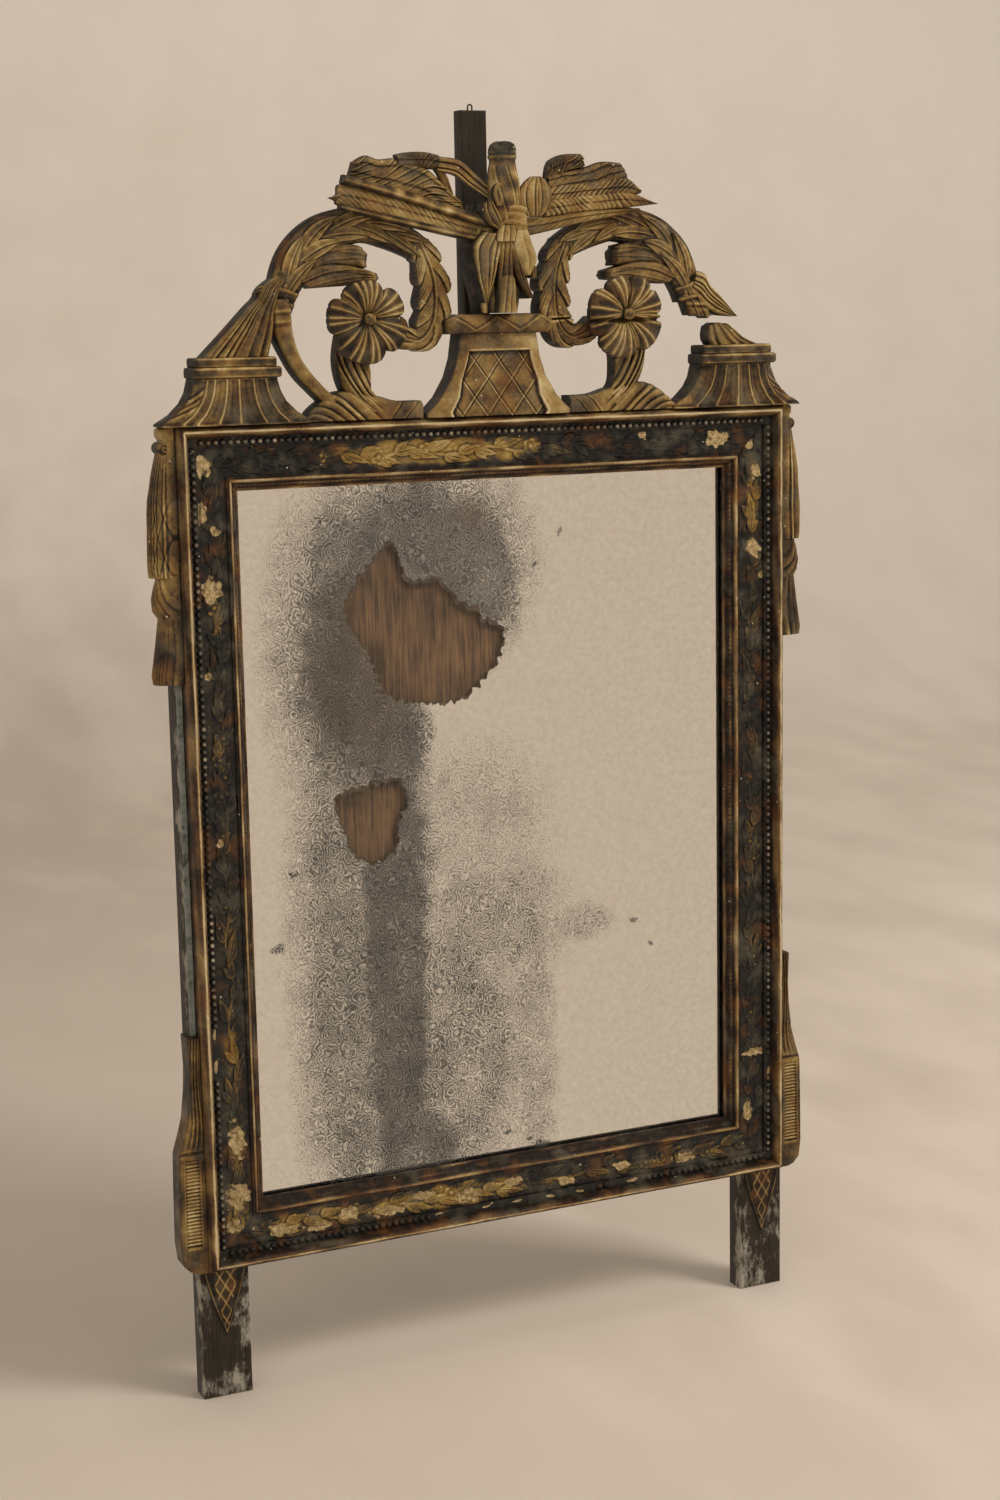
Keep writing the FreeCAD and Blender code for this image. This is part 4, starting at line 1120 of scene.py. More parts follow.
# %% Crystallised tin
# Place across and up, half lengths, and how much is lost
LOST = (
    (-72, 560, 96, 88, 1.36), (-5, 545, 36, 64, 1.3), (-138, 480, 56, 104, 1.38), (-101, 220, 38, 300, 1.4),
    (-93, 405, 28, 56, 1.4), (-142, 562, 36, 56, 1.25), (-140, 396, 42, 44, 1.25),
    (-84, 10, 50, 64, 1.3), (-141, 200, 54, 270, 1.05), (-168, 480, 46, 130, 0.75), (-10, 225, 78, 60, 0.7),
    (-44, 110, 64, 140, 0.9), (36, 90, 22, 160, 0.6), (-25, 310, 80, 80, 0.5), (85, 215, 34, 18, 0.55),
    (-115, 2, 16, 10, 1.2), (45, 2, 10, 7, 1.3), (10, 18, 5, 4, 1.3), (30, 10, 4, 3, 1.2),
    (70, 583, 3, 3, 1.2), (145, 211, 3, 3, 1.3), (162, 185, 3, 3, 1.2), (-195, 293, 4, 3, 1.2),
    (-215, 225, 5, 5, 1.0), (45, 554, 2, 2, 1.2),
)
BROWNED = ((-128, 470, 46, 74, 0.42), (-17, 602, 17, 13, 0.4))
OVAL_FADE = (1.45, 0.65)
CLUSTER_MM = 14.0
ARC_MM = 2.1
BEND_MM = 9.0
BEND_BY = 9.0
BROKEN = 9.0
BLOTCH_MM = 30
SPECK_MM = 1.9
RAGGED_MM = 16.0
RAGGED_BY = 26.0
MOTTLED_MM = 5.0
TIN_TONES = ((0.12, "#dfdcd7"), (0.35, "#c2bfbb"), (0.52, "#a9a6a2"), (0.66, "#827f7b"), (0.86, "#6b6966"),
             (1.0, "#4a4846"))
DARK_RIM_AND_SHADOW_TONES = ((0.35, "#241d15"), (0.65, "#493a29"))
MOTTLED_TONES = ((0.3, "#f1efec"), (0.6, "#ffffff"))
BROWN_TONE = "#4b3b29"


def oval(tree, spot, x, z, half_x, half_z, amount):
    """Falls from an amount inside an oval to 0 some way outside it."""
    away = worked(tree, "VectorMath", "SUBTRACT", spot, tuple(placed(x, 0, z)))
    ring = worked(tree, "VectorMath", "MULTIPLY", away, (1 / (half_x * MM), 0.0, 1 / (half_z * MM)))
    reach = add(tree, "VectorMath", {0: ring}, operation="LENGTH").outputs["Value"]
    return limits(tree, reach, *OVAL_FADE, 0.0, amount)


def pushed(tree, spot, size, by, detail):
    """The place of each point, pushed about by noise of one size, by so many millimetres end to end."""
    sockets = {"Vector": spot, "Scale": per_mm(size), "Detail": detail}
    noise = add(tree, "TexNoise", sockets).outputs["Color"]
    noise = worked(tree, "VectorMath", "SUBTRACT", noise, (0.5,) * 3)
    return worked(tree, "VectorMath", "MULTIPLY_ADD", noise, (by * MM,) * 3, spot)


tin, tree, shader, spot = finish("tin_and_mercury_foil_crystallised")
lost = 0.0
ragged = pushed(tree, spot, RAGGED_MM, RAGGED_BY, 6.0)
for where in LOST:
    lost = worked(tree, "Math", "MAXIMUM", lost, oval(tree, ragged, *where))
bent = pushed(tree, spot, BEND_MM, BEND_BY, 2.0)
near = add(tree, "TexVoronoi", {"Vector": bent, "Scale": per_mm(CLUSTER_MM)}).outputs["Distance"]
rings = 2 * math.pi * CLUSTER_MM / ARC_MM
turns = summed(tree, 0.0, (near, rings), (cloud(tree, spot, BEND_MM, 2.0), BROKEN))
curls = worked(tree, "Math", "SINE", turns)
arcs = limits(tree, curls, 0.55, 0.95)
grooves = limits(tree, curls, -0.3, -0.9)
blotches = cloud(tree, spot, BLOTCH_MM, 4.0)
flecks = cloud(tree, spot, SPECK_MM, 3.0, 0.7)
specks = limits(tree, flecks, 0.56, 0.62)
marks = summed(tree, -0.96, (arcs, -0.40), (grooves, 0.26), (blotches, 0.9), (flecks, 0.9), (specks, 0.4))
crowd = limits(tree, lost, 0.0, 0.8, 0.16, 1.0)
calm = limits(tree, lost, 0.9, 1.4, 1.0, 0.6)
amount = summed(tree, 0.02, (lost, 0.62), (marks, worked(tree, "Math", "MULTIPLY", crowd, calm)))
colour = ramp(tree, amount, *TIN_TONES)
for where in BROWNED:
    colour = mixed(tree, oval(tree, spot, *where), colour, BROWN_TONE)
mottled = ramp(tree, cloud(tree, spot, MOTTLED_MM, 5.0, 0.75), *MOTTLED_TONES)
fill(tree, shader, {
    "Base Color": mixed(tree, 1.0, colour, mottled, "MULTIPLY"),
    "Metallic": limits(tree, amount, 0.5, 0.9, 1.0, 0.85),
    "Roughness": limits(tree, amount, 0.4, 0.9, 0.06, 0.45),
})
piece("torn_tin_foil", [foil_shell()], tin, ["tin_silvering"])

dark_rim_and_shadow, tree, shader, spot = finish("dark_tin_rim_and_painted_shadow")
fill(tree, shader, {"Base Color": ramp(tree, cloud(tree, spot, 4.0), *DARK_RIM_AND_SHADOW_TONES), "Roughness": 0.85})
dark_rims_and_shadows = [dark_rim_and_shadow_shell(edge, inward, 88 + n) for n, (edge, inward) in enumerate(TORN_EDGES)]
piece("hole_edge_crust", dark_rims_and_shadows, dark_rim_and_shadow, [])
print("plate ready")

# %% [markdown]
# ## The crest
# The crest was cut from boards about an inch thick, then carved from the front. The right half is drawn
# here, with x from the middle and z above the frame. The left half is the same drawing turned over,
# apart from what is broken. First come the two scrolls: a rounded band, and on it pairs of pointed
# leaves that overlap towards the middle.

# %% Scrolls of overlapping leaves
# Across, up and half width
ARC = [(199, 94.5, 11), (194, 113.5, 14), (182, 136.5, 17), (163, 154.5, 17), (140, 163.5, 16),
       (118, 165.5, 15), (97, 159.5, 14), (78, 150.5, 12), (66, 143.5, 11)]
ARC_EDGE = 10.5
ARC_CROWN = 7.0
LEAF_PAIRS = 5
LEAF_STEP = 0.172
LEAF_RUN = 0.27
LEAF_GROUND = 15.2
LEAF_LIFT = 5.0
RING_MM = (6.0, 17.0)
BREAK_FRONT = 17.5
TORN_OUTER = [(203, 124), (213, 121), (219, 111), (232, 99), (247, 82.5)]
TORN_INNER = [(197, 104), (205, 97), (214, 90), (226, 84), (246, 81.8)]
STUMP_OUTER = [(208, 110), (212, 98), (221, 82)]
STUMP_INNER = [(186, 108), (192, 96), (197, 84)]


def pointed_leaf(at, root, tip, lean, half, ground, lift, seed, gold=0.0):
    """A leaf along a path: shares along at its root and tip, shares across, half width and height."""
    along, across = net(46, 23)
    out = half * np.sin(math.pi * along ** 0.75) ** 0.8 * across
    flat = at(root + (tip - root) * along, lean[0] + (lean[1] - lean[0]) * along, out)
    rise = 0.2 + 0.8 * eased(along / 0.8)
    rib = 0.8 * veins(out, [0.0], 0.7)
    forward = ground + lift * rise - 2.2 * across ** 2 + rib + 0.3 * rough(flat, 12, seed)
    edge = np.abs(across)
    # A thin pale line inside the edge, rubbed gilt and a painted highlight, and painted shade at the border
    # where the leaf meets the band
    rub = rubbed(forward, 3, 1.9) + 0.3 * hump(edge - 0.74, 0.12) - 0.7 * limits_of(edge, 0.84, 1.0)
    return crest(flat, forward, ground - 2.5, rub + gold)


def scroll_shells(seed, start=0.0):
    at = path(ARC)
    along, across = net(170, 33)
    along = start + (1 - start) * along
    flat = at(along, across)
    forward = ARC_EDGE + ARC_CROWN * bowed(across) + 0.5 * rough(flat, 22, seed)
    forward = forward + 1.5 * veins(along * at.length, RING_MM, 1.6)
    shells = [crest(flat, forward, reach=5, spread=3.0, gold=-0.25)]
    draw = np.random.default_rng(seed)
    for step in range(LEAF_PAIRS):
        for side, late in ((1, 0.0), (-1, 0.055)):
            root = max(0.06 + step * LEAF_STEP + late + draw.uniform(-0.015, 0.015), start)
            tip = min(root + LEAF_RUN * draw.uniform(0.9, 1.1), 0.995)
            half = 0.46 * float(at.half(root + 0.12))
            lean = (0.05 * side, 0.64 * side)
            ground = LEAF_GROUND - 0.05 * step
            shells.append(pointed_leaf(at, root, tip, lean, half, ground, LEAF_LIFT, seed + step))
    return shells


def torn_leaf():
    """The broken foot of the right scroll: a leaf tip that still points outwards, and a ringed stump."""
    flat, along, across = strip(TORN_OUTER, TORN_INNER, 70, 39)
    folds = flutes(across + 0.1 * along, 5, 15)
    forward = BREAK_FRONT - 4 * along ** 3 + 2.4 * folds - 4 * across ** 4
    shells = [crest(flat, forward, spread=2.2)]
    stump, along, across = strip(STUMP_OUTER, STUMP_INNER, 44, 33)
    stump[..., 1] += 1.4 * rough(stump, 6, 5) * limits_of(along, 0.85, 1.0)
    forward = BREAK_FRONT - 4 * across ** 4 + 0.6 * rough(stump, 9, 6)
    forward = forward + 1.1 * veins(along * 26, (8.0, 15.0), 1.4)
    forward = forward + 0.8 * veins(across * 13, (-5.0, 4.0), 0.9)
    return shells + [crest(stump, forward, spread=2.2, gold=-0.05)]


carve("left_scroll_carving", flipped(scroll_shells(11)), "left_scroll")
carve("right_scroll_carving", scroll_shells(12, 0.02) + torn_leaf(), "right_scroll")

# %% [markdown]
# An acanthus leaf hangs from the inner end of each scroll and curls towards the rosette. Its edge is cut
# into lobes that point to its tip, and each lobe laps over the next. One slanting phase gives all of it:
# where the phase starts again, the outline steps in, the surface drops, and a new lobe begins.

# %% Acanthus leaves, husks and the branch
ACANTHUS = [(70, 150, 10), (61, 128, 13), (58, 110, 14.5), (58.5, 93, 14.5), (63, 77, 13.5), (74, 67, 10),
            (88, 70, 9), (100, 78, 8)]
ACANTHUS_FRONT = 16.5
LOBES = 5.0
LOBE_SLANT = 1.0
LOBE_VEINS = (0.30, 0.52, 0.74)
CRACK_Z = 80.5
CRACK_SLOPE = 0.04
# Upper edge, lower edge, front and gold of the husk's two layers
HUSK_LAYERS = (
    ([(184, 130), (160, 147), (140, 150), (122, 147)],
     [(178, 118), (160, 130), (140, 130), (120, 129)], 14.5, -0.16),
    ([(186, 122), (165, 131), (140, 132), (114, 126)],
     [(172, 112.5), (156, 113.5), (138, 114.5), (111, 117)], 17.5, -0.06),
)
BRANCH = [(199, 104, 9.5), (197, 76.5, 9), (190, 56.5, 7), (181, 41.5, 6.5), (168, 27.5, 6), (154, 14, 6)]


def acanthus_shells(seed, gold, crack):
    at = path(ACANTHUS)
    along, across = net(220, 51)
    edge = np.abs(across)
    phase = along * LOBES - LOBE_SLANT * edge ** 1.2 + 0.35 * (across > 0) + 0.1
    lobe = phase % 1
    inner = np.where(across < 0, 1.0, 0.7)
    round_lobe = np.sin(math.pi * lobe ** 1.7) ** 0.6
    stretch = 1 + inner * (0.34 * round_lobe - 0.2) * edge ** 2 * np.minimum(along / 0.08, 1)
    flat = at(along, across * stretch)
    lap = lobe ** 1.4 * edge ** 0.8
    forward = ACANTHUS_FRONT + 2.5 * np.sin(math.pi * along) + 3.6 * lap - 3.2 * edge ** 3
    forward = forward + 0.8 * edge * sum(hump(lobe - place, 0.05) for place in LOBE_VEINS)
    forward = forward + 1.1 * veins(across * at.half(along), (-0.6,), 0.9) + 0.4 * rough(flat, 16, seed)
    if crack:
        forward = forward - 5.0 * hump(flat[..., 1] - CRACK_Z - CRACK_SLOPE * flat[..., 0], 0.7)
    return [crest(flat, forward, reach=4, spread=2.6, gold=gold)]


def husk_shells(seed):
    """Two folded layers that roll out from under the scroll, with ragged ends."""
    shells = []
    for number, (upper, lower, front, gold) in enumerate(HUSK_LAYERS):
        flat, along, across = strip(upper, lower, 90, 33)
        ragged = wobble(30 * across, 0 * across, 24, seed + 7 + number)
        flat[..., 0] -= (3.0 * np.sqrt(1 - across ** 2) + 1.6 * ragged) * along ** 6
        folds = flutes(across + 0.25 * np.sin(3 * along), 2, seed + number)
        roll = 2.4 * hump(along - 0.9, 0.1) - 5 * np.maximum(along - 0.93, 0) / 0.07
        forward = front + 1.5 * folds + roll - 2.6 * np.abs(across) ** 5
        forward = forward + 0.5 * veins(across * 9 + 6 * along, (-1.0, 6.0), 0.7)
        forward = forward + 0.5 * rough(flat, 18, seed + number)
        shells.append(crest(flat, forward, spread=2.6, gold=gold))
    return shells


def branch_shells():
    at = path(BRANCH)
    along, across = net(130, 23)
    flat = at(along, across)
    forward = 10 + 9.6 * bowed(across, 0.98) + 0.6 * rough(flat, 16, 31)
    forward = forward + 0.9 * veins(along * at.length, (10.0, 19.0), 1.5)
    return [crest(flat, forward, reach=5, spread=3.0, gold=-0.08)]


ACANTHUS_GOLD = {"left": 0.14, "right": 0.0}
for side, turn in HALVES:
    leaf = acanthus_shells(21, ACANTHUS_GOLD[side], side == "right")
    carve(side + "_acanthus_carving", turn(leaf), side + "_acanthus_leaf")
    carve(side + "_husk_carving", turn(husk_shells(24)), side + "_husk")
carve("left_branch_carving", flipped(branch_shells()), "left_branch")

# %% [markdown]
# The left corner keeps its finial, a tall leaf whose folds fan out from the tip of the scroll down to
# the collar. On the right only a stump is left on the collar.

# %% Finial leaf and stump
FINIAL_OUTER = [(271, 56.6), (250, 77), (230, 97), (221, 105.5), (216, 114), (202, 124)]
FINIAL_INNER = [(211, 56.6), (207, 78), (206, 94), (201, 110), (196, 118), (193, 124)]
FINIAL_TIP = [(200, 100, 8), (208, 108, 9), (216, 112, 7), (224, 108, 2)]
STUB_OUTER = [(270, 56.6), (255, 62.5), (245, 70), (236, 76)]
STUB_INNER = [(219, 56.6), (216, 62), (216, 69), (218, 76)]


def fanned(outer, inner, folds, seed, front, swell, rows):
    """A leaf between two edges with folds and thin lines from its foot to its tip, and shares along it."""
    flat, along, across = strip(outer, inner, rows, 61)
    drift = across + 0.12 * np.sin(2.6 * along + 0.4) * (1 - across ** 2)
    forward = front + 2.6 * flutes(drift, folds, seed) * (1 - 0.5 * along) + swell * np.sin(math.pi * along)
    forward = forward + 0.5 * veins(drift, spaced(folds + 2, seed + 1), 0.025) - 4 * across ** 6
    return flat, forward + 0.4 * rough(flat, 14, seed), along


def finial_shells():
    flat, forward, _ = fanned(FINIAL_OUTER, FINIAL_INNER, 6, 41, 17.0, 2.5, 100)
    leaf = crest(flat, forward, spread=2.4)
    return [leaf, pointed_leaf(path(FINIAL_TIP), 0.0, 1.0, (0.0, 0.0), 5.5, 14.6, 3.0, 42, -0.25)]


def stub_shells():
    flat, forward, along = fanned(STUB_OUTER, STUB_INNER, 5, 44, 16.0, 1.0, 50)
    flat[..., 1] += 1.6 * rough(flat, 9, 43) * limits_of(along, 0.85, 1.0)
    return [crest(flat, forward, spread=2.4)]


carve("left_finial_carving", flipped(finial_shells()), "left_finial_leaf")
carve("right_stump_carving", stub_shells(), "right_finial_stub")

# %% [markdown]
# A rosette sits on a twisted stem in each scroll. The stem is a round band with folds that wind across
# it, and its foot spreads along the top of the frame as a bed of slanting folds with a plain end.

# %% Rosette stems
STEM = [(118, 6, 12), (128, 20, 12), (133, 36, 14.5), (134, 52, 16), (130, 70, 17), (126, 88, 15)]
STEM_TOP = 22.8
FOOT_UPPER = [(180, 0.4), (176, 9), (162, 19.5), (148, 25), (130, 24), (112, 20), (95, 15.5), (72, 15)]
FOOT_LOWER = [(x, 0.2) for x in (180, 170, 158, 146, 128, 110, 92, 72)]


def stem_shells(seed):
    flat, along, across = band(STEM, 110, 41)
    twist = flutes(0.75 * across + 1.5 * along - 0.75, 6, seed)
    forward = 10.5 + 6.5 * bowed(across, 0.95) + 3.4 * twist
    forward = forward + 0.5 * veins(across * 14 + 28 * along, (2.0, 12.0, 22.0), 0.6)
    shells = [crest(flat, np.minimum(forward, STEM_TOP), spread=2.6, gold=-0.06)]
    flat, along, across = strip(FOOT_UPPER, FOOT_LOWER, 140, 37)
    slant = flutes(3.2 * along - 1.05 - 0.32 * across, 6, seed + 1)
    plain = limits_of(along, 0.60, 0.70)
    forward = 18.5 + 3.4 * slant * (1 - plain) + 1.6 * plain - 5.5 * np.maximum(-across, 0) ** 3
    forward = forward + plain * 0.9 * veins(along * 125 + 8 * across, (97.0, 112.0), 0.9)
    return shells + [crest(flat, forward + 0.4 * rough(flat, 15, seed), spread=2.4)]


for side, turn in HALVES:
    carve(side + "_stem_carving", turn(stem_shells(51)), side + "_rosette_stem")

# %% [markdown]
# The petals of a rosette are not equal, because the carver set them out by eye: the cuts between them
# are given as angles from the top. A petal is a fan of hollow flutes with thin raised edges, hollow at
# the boss, full in the middle and rolled down at its rim. The right one has split along the grain.

# %% Rosettes
ROSETTE_AT = (125.0, 86.0)
ROSETTE_R = 38.5
ROSETTE_BACK = 23.0
PETAL_ROOT = 3.5
PETAL_LOW = 27.0
PETAL_RISE = 8.0
PETAL_FALL = 6.0
PETAL_FULL = 0.6
FLUTE_DEGREES = 13.0
BOSS = (5.6, 5.2, 31.0, 38.4)
LEFT_CUTS = (34, 87, 148, 245, 305, 394)
LEFT_REACH = (0.92, 0.98, 1.0, 0.96, 0.86)
RIGHT_CUTS = (-46, 8, 49, 92, 160, 234, 314)
RIGHT_REACH = (0.88, 0.90, 0.92, 0.98, 1.0, 1.0)
RIGHT_SPLIT = -5.5


def dome(x, z, rx, rz, edge, top, back, seed):
    """A round boss, a little lumpy."""
    a, b = disc(21)
    flat = laid(x + rx * a, z + rz * b)
    forward = edge + (top - edge) * np.sqrt(np.maximum(1 - a ** 2 - b ** 2, 0)) + 0.6 * rough(flat, 5, seed)
    return crest(flat, np.minimum(forward, top), back, spread=2.0)


def rosette_shells(side, cuts, reaches, seed, split=None):
    shells = []
    x0, z0 = side * ROSETTE_AT[0], ROSETTE_AT[1]
    for number, (start, end, far) in enumerate(zip(cuts[:-1], cuts[1:], reaches)):
        along, across = net(48, 71)
        half = 0.5 * (end - start) + 2.0
        edges = spaced(max(int(round((end - start) / FLUTE_DEGREES)), 3), seed + number, -0.93, 0.93)
        round_off = np.cos(0.5 * math.pi * np.abs(across) ** 2.4) ** 0.6
        reach = ROSETTE_R * far * (0.72 + 0.28 * round_off)
        angle = np.radians(0.5 * (start + end) + half * across)
        radius = PETAL_ROOT + (reach - PETAL_ROOT) * along
        arc_mm = np.radians(half) * radius
        ridge = unit(sum(hump((across - place) * arc_mm, 0.85) for place in edges))
        nearest = to_nearest(across, edges) * arc_mm
        radius = radius * (1 - 0.02 * along ** 4 * ridge)
        flat = laid(x0 + radius * np.sin(angle), z0 + radius * np.cos(angle))
        cup = PETAL_LOW + PETAL_RISE * eased(along / PETAL_FULL)
        cup = cup - PETAL_FALL * np.maximum(along - PETAL_FULL, 0) ** 2 / (1 - PETAL_FULL) ** 2
        forward = cup - 0.42 * np.minimum(nearest, 4.0) + 0.9 * ridge * limits_of(along, 0.05, 0.3)
        forward = forward - 3.4 * np.abs(across) ** 3 + 1.2 * (number % 2) + 0.3 * rough(flat, 13, seed)
        if split is not None:
            gap = flat[..., 1] - z0 - split
            flat += np.tanh(gap / 0.6)[..., None] * (0.8, 0.7)
            forward = forward - 9.0 * hump(gap, 1.1)
        rub = 0.78 - 0.28 * np.minimum(nearest, 3.0) / 1.5 + 0.3 * ridge
        # Painted shade between the petals and round the boss
        rub = rub - 0.6 * limits_of(np.abs(across), 0.88, 1.0) - 0.3 * hump(along, 0.2)
        shells.append(crest(flat, forward, ROSETTE_BACK, rub))
    return shells + [dome(x0, z0, *BOSS, ROSETTE_BACK, seed)]


carve("left_rosette_carving", rosette_shells(-1, LEFT_CUTS, LEFT_REACH, 52), "left_rosette")
carve("right_rosette_carving", rosette_shells(1, RIGHT_CUTS, RIGHT_REACH, 53, RIGHT_SPLIT), "right_rosette")

# %% [markdown]
# Three flared pedestals stand on the frame. Their hollow sides follow one curve, so a share across the
# grid is the same fillet from top to bottom. The corner ones have hollow panels between thin fillets and
# carry a double collar.

# %% Corner pedestals
FLARE_DOWN = (0.0, 0.30, 0.52, 0.76, 0.95, 1.0)
FLARE_OUT = (0.0, 0.10, 0.26, 0.58, 1.0, 1.0)
PEDESTAL_TOP_HALF = 37.0
CORNER_X = 243.0
CORNER_HALF = 67.5
CORNER_FRONT = 25.4
CORNER_BACK = -2.0
PEDESTAL_H = 39.5
COLLAR_H = 9.0
COLLAR_TOP_H = 8.0
FILLETS = (-0.66, -0.36, -0.02, 0.26, 0.54, 0.72)


def flared(base_half, height, rows, cols):
    """A flat grid with hollow sides, from the foot up."""
    along, across = net(rows, cols)
    flare = np.interp(1 - along, FLARE_DOWN, FLARE_OUT)
    half = PEDESTAL_TOP_HALF + (base_half - PEDESTAL_TOP_HALF) * flare
    return laid(half * across, height * along), along, across, half


def collar(half, low, high, front, bulge):
    """A round-edged slab across a pedestal, chipped along its lower edge."""
    along, across = net(19, 81)
    across = np.sin(0.5 * math.pi * across)
    round_off = 1 - np.sqrt(1 - 0.98 * np.abs(2 * along - 1) ** 5)
    flat = laid((half - bulge * round_off) * across, low + (high - low) * along)
    end = limits_of(np.abs(across), 0.9, 1.0)
    forward = front - bulge * round_off - bulge * (1 - bowed(end))
    forward = forward - 0.6 * np.abs(rough(flat, 11, int(half)))
    rub = 0.36 + 0.5 * hump(along - 0.86, 0.1) + 0.3 * hump(along - 0.14, 0.1)
    rub = rub - 0.5 * limits_of(along, 0.1, 0.0) + 0.15 * rough(flat, 16, int(half) + 1)
    return crest(flat, forward, CORNER_BACK, rub)


def corner_pedestal_shells():
    flat, along, across, half = flared(CORNER_HALF, PEDESTAL_H, 56, 151)
    fade = unit(np.minimum(along / 0.05, (1 - along) / 0.07))
    lines = unit(sum(hump((across - place) * half, 0.8) for place in FILLETS))
    nearest = to_nearest(across, FILLETS) * half
    forward = CORNER_FRONT - 0.28 * np.minimum(nearest, 7.0) * fade + 0.9 * lines * fade
    forward = forward - 5.0 * np.abs(across) ** 8 + 0.3 * rough(flat, 18, 61)
    ribs = flutes(2 * along - 1 + 2.2 * (across - 0.87), 4, 64)
    forward = forward + limits_of(across, 0.74, 0.80) * (1.6 * ribs - 0.4)
    top = PEDESTAL_H + COLLAR_H
    shells = [
        crest(flat, forward, CORNER_BACK, reach=4, spread=1.7, gold=-0.10),
        collar(39.0, PEDESTAL_H - 0.3, top, 28.0, 2.4),
        collar(36.0, top - 0.3, top + COLLAR_TOP_H, 24.2, 2.0),
    ]
    return [(verts + (CORNER_X * MM, 0, 0), faces, rub) for verts, faces, rub in shells]


for side, turn in HALVES:
    carve(side + "_pedestal_carving", turn(corner_pedestal_shells()), side + "_corner_pedestal")

# %% [markdown]
# The middle pedestal has a sunk panel of diamonds inside a plain border, and on top a swelling cushion
# with a zigzag line. Both patterns are thin raised lines with a groove beside them.

# %% Middle pedestal and cushion
CENTRE_HALF = 69.5
CENTRE_FRONT = 25.6
CENTRE_BACK = 2.0
CENTRE_H = 71.5
PANEL_TOP = 57
DIAMOND_MM = 24.0
DIAMOND_SLOPE = 0.75
CAP_H = 17.0
CAP_HALF = 46
CAP_FRONT = 25
ZIGZAG_MM = 42.0


def crossed(u, v, pitch, width):
    """Two sets of slanting lines: u plus and minus v, each with a groove on one side."""
    return sum(veins(((slanted / pitch) % 1 - 0.5) * pitch, (0.0,), width) for slanted in (u + v, u - v))


def centre_pedestal_shells():
    flat, along, across, half = flared(CENTRE_HALF, CENTRE_H, 130, 171)
    x, z = flat[..., 0], flat[..., 1]
    panel_half = half - 9.5 - 15 * unit(1 - along / 0.45)
    edge = np.minimum(panel_half - np.abs(x), PANEL_TOP - z)
    inside = limits_of(edge, 0.0, 1.4)
    lines = crossed(x, DIAMOND_SLOPE * z, DIAMOND_MM, 0.8)
    forward = CENTRE_FRONT - 2.6 * inside + 0.9 * inside * lines - 3.0 * np.abs(across) ** 8
    forward = forward + 0.5 * wobble(x, z, 17, 62)
    # The border's right half is painted lighter, a painted highlight where the light falls
    rub = rubbed(forward, 4, 1.5) + 0.05 + 0.30 * (1 - inside) * limits_of(x, 0, 25)
    # A painted shadow of the border just inside the panel's edge
    return [crest(flat, forward, CENTRE_BACK, rub - 0.35 * inside * hump(edge - 2.0, 2.5))]


def cap_shells():
    along, across = net(33, 171)
    swell = np.sin(math.pi * unit(0.12 + 0.8 * along)) ** 0.7
    half = CAP_HALF + 6.8 * swell - 9 * np.maximum(along - 0.7, 0) / 0.3
    flat = laid(half * across, CENTRE_H + CAP_H * along)
    zigzag = np.abs((flat[..., 0] / ZIGZAG_MM + 0.1) % 1 * 2 - 1)
    lines = veins((along - 0.12 - 0.75 * zigzag) * 12, (0.0,), 0.8)
    end = limits_of(np.abs(across), 0.85, 1.0)
    forward = CAP_FRONT + 8.0 * swell + 0.8 * lines - 12 * end ** 2.5 + 0.4 * rough(flat, 16, 63)
    return [crest(flat, forward, reach=4, spread=2.4, gold=-0.06)]


carve("centre_pedestal_carving", centre_pedestal_shells(), "centre_pedestal")
carve("pedestal_cushion_carving", cap_shells(), "pedestal_cap")

# %% [markdown]
# ## The trophy
# In the middle two bundles of feathered arrows cross behind a quiver, tied with a sash and draped below:
# an old carver's emblem of love. Each feather is its own overlapping strip with barbs cut slantwise,
# each fold of cloth a strip with long grooves. Strips in front simply stand further forward, and all are
# closed bodies.

# %% Feathered arrows
FEATHER_BACK = 24.0


def feather(upper, lower, front, barbs, slant, gold=0.0, depth=0.8, folds=2, rows=110, cols=33):
    """A strip between two edges: broad soft folds along it, and thin barbs cut slantwise by eye."""
    flat, along, across = strip(upper, lower, rows, cols)
    seed = int(front * 10) + barbs
    uneven = 0.35 * rough(flat, 30, seed)
    run = np.linalg.norm(np.diff(flat[:, cols // 2], axis=0), axis=1).sum()
    near = ((along * barbs + slant * across + uneven) % 1 - 0.5) * run / barbs
    deep = np.clip(0.6 + 0.6 * rough(flat, 22, seed + 1), 0.1, 1.2)
    barb = hump(near, 0.8) - 0.9 * hump(near - 1.5, 0.8)
    broad = flutes(across + 0.15 * uneven, folds, seed)
    forward = front + depth * deep * barb + 1.8 * (broad - 1) + 2.0 * (1 - across ** 2)
    return crest(flat, forward - 2.0 * np.abs(across) ** 7, FEATHER_BACK, spread=2.2, gold=gold)


def shaft(stations, low, high, gold):
    """A round rod, lighter along its top: rubbed gilt and a painted highlight."""
    flat, _, across = band(stations, 110, 19)
    forward = low + (high - low) * bowed(across) + 0.4 * rough(flat, 13, int(high))
    # Lighter along the top: rubbed gilt and a painted highlight
    worn = 0.35 + 0.5 * hump(across - 0.25, 0.35) + 0.2 * rough(flat, 17, int(low))
    return crest(flat, forward, FEATHER_BACK, worn + gold)


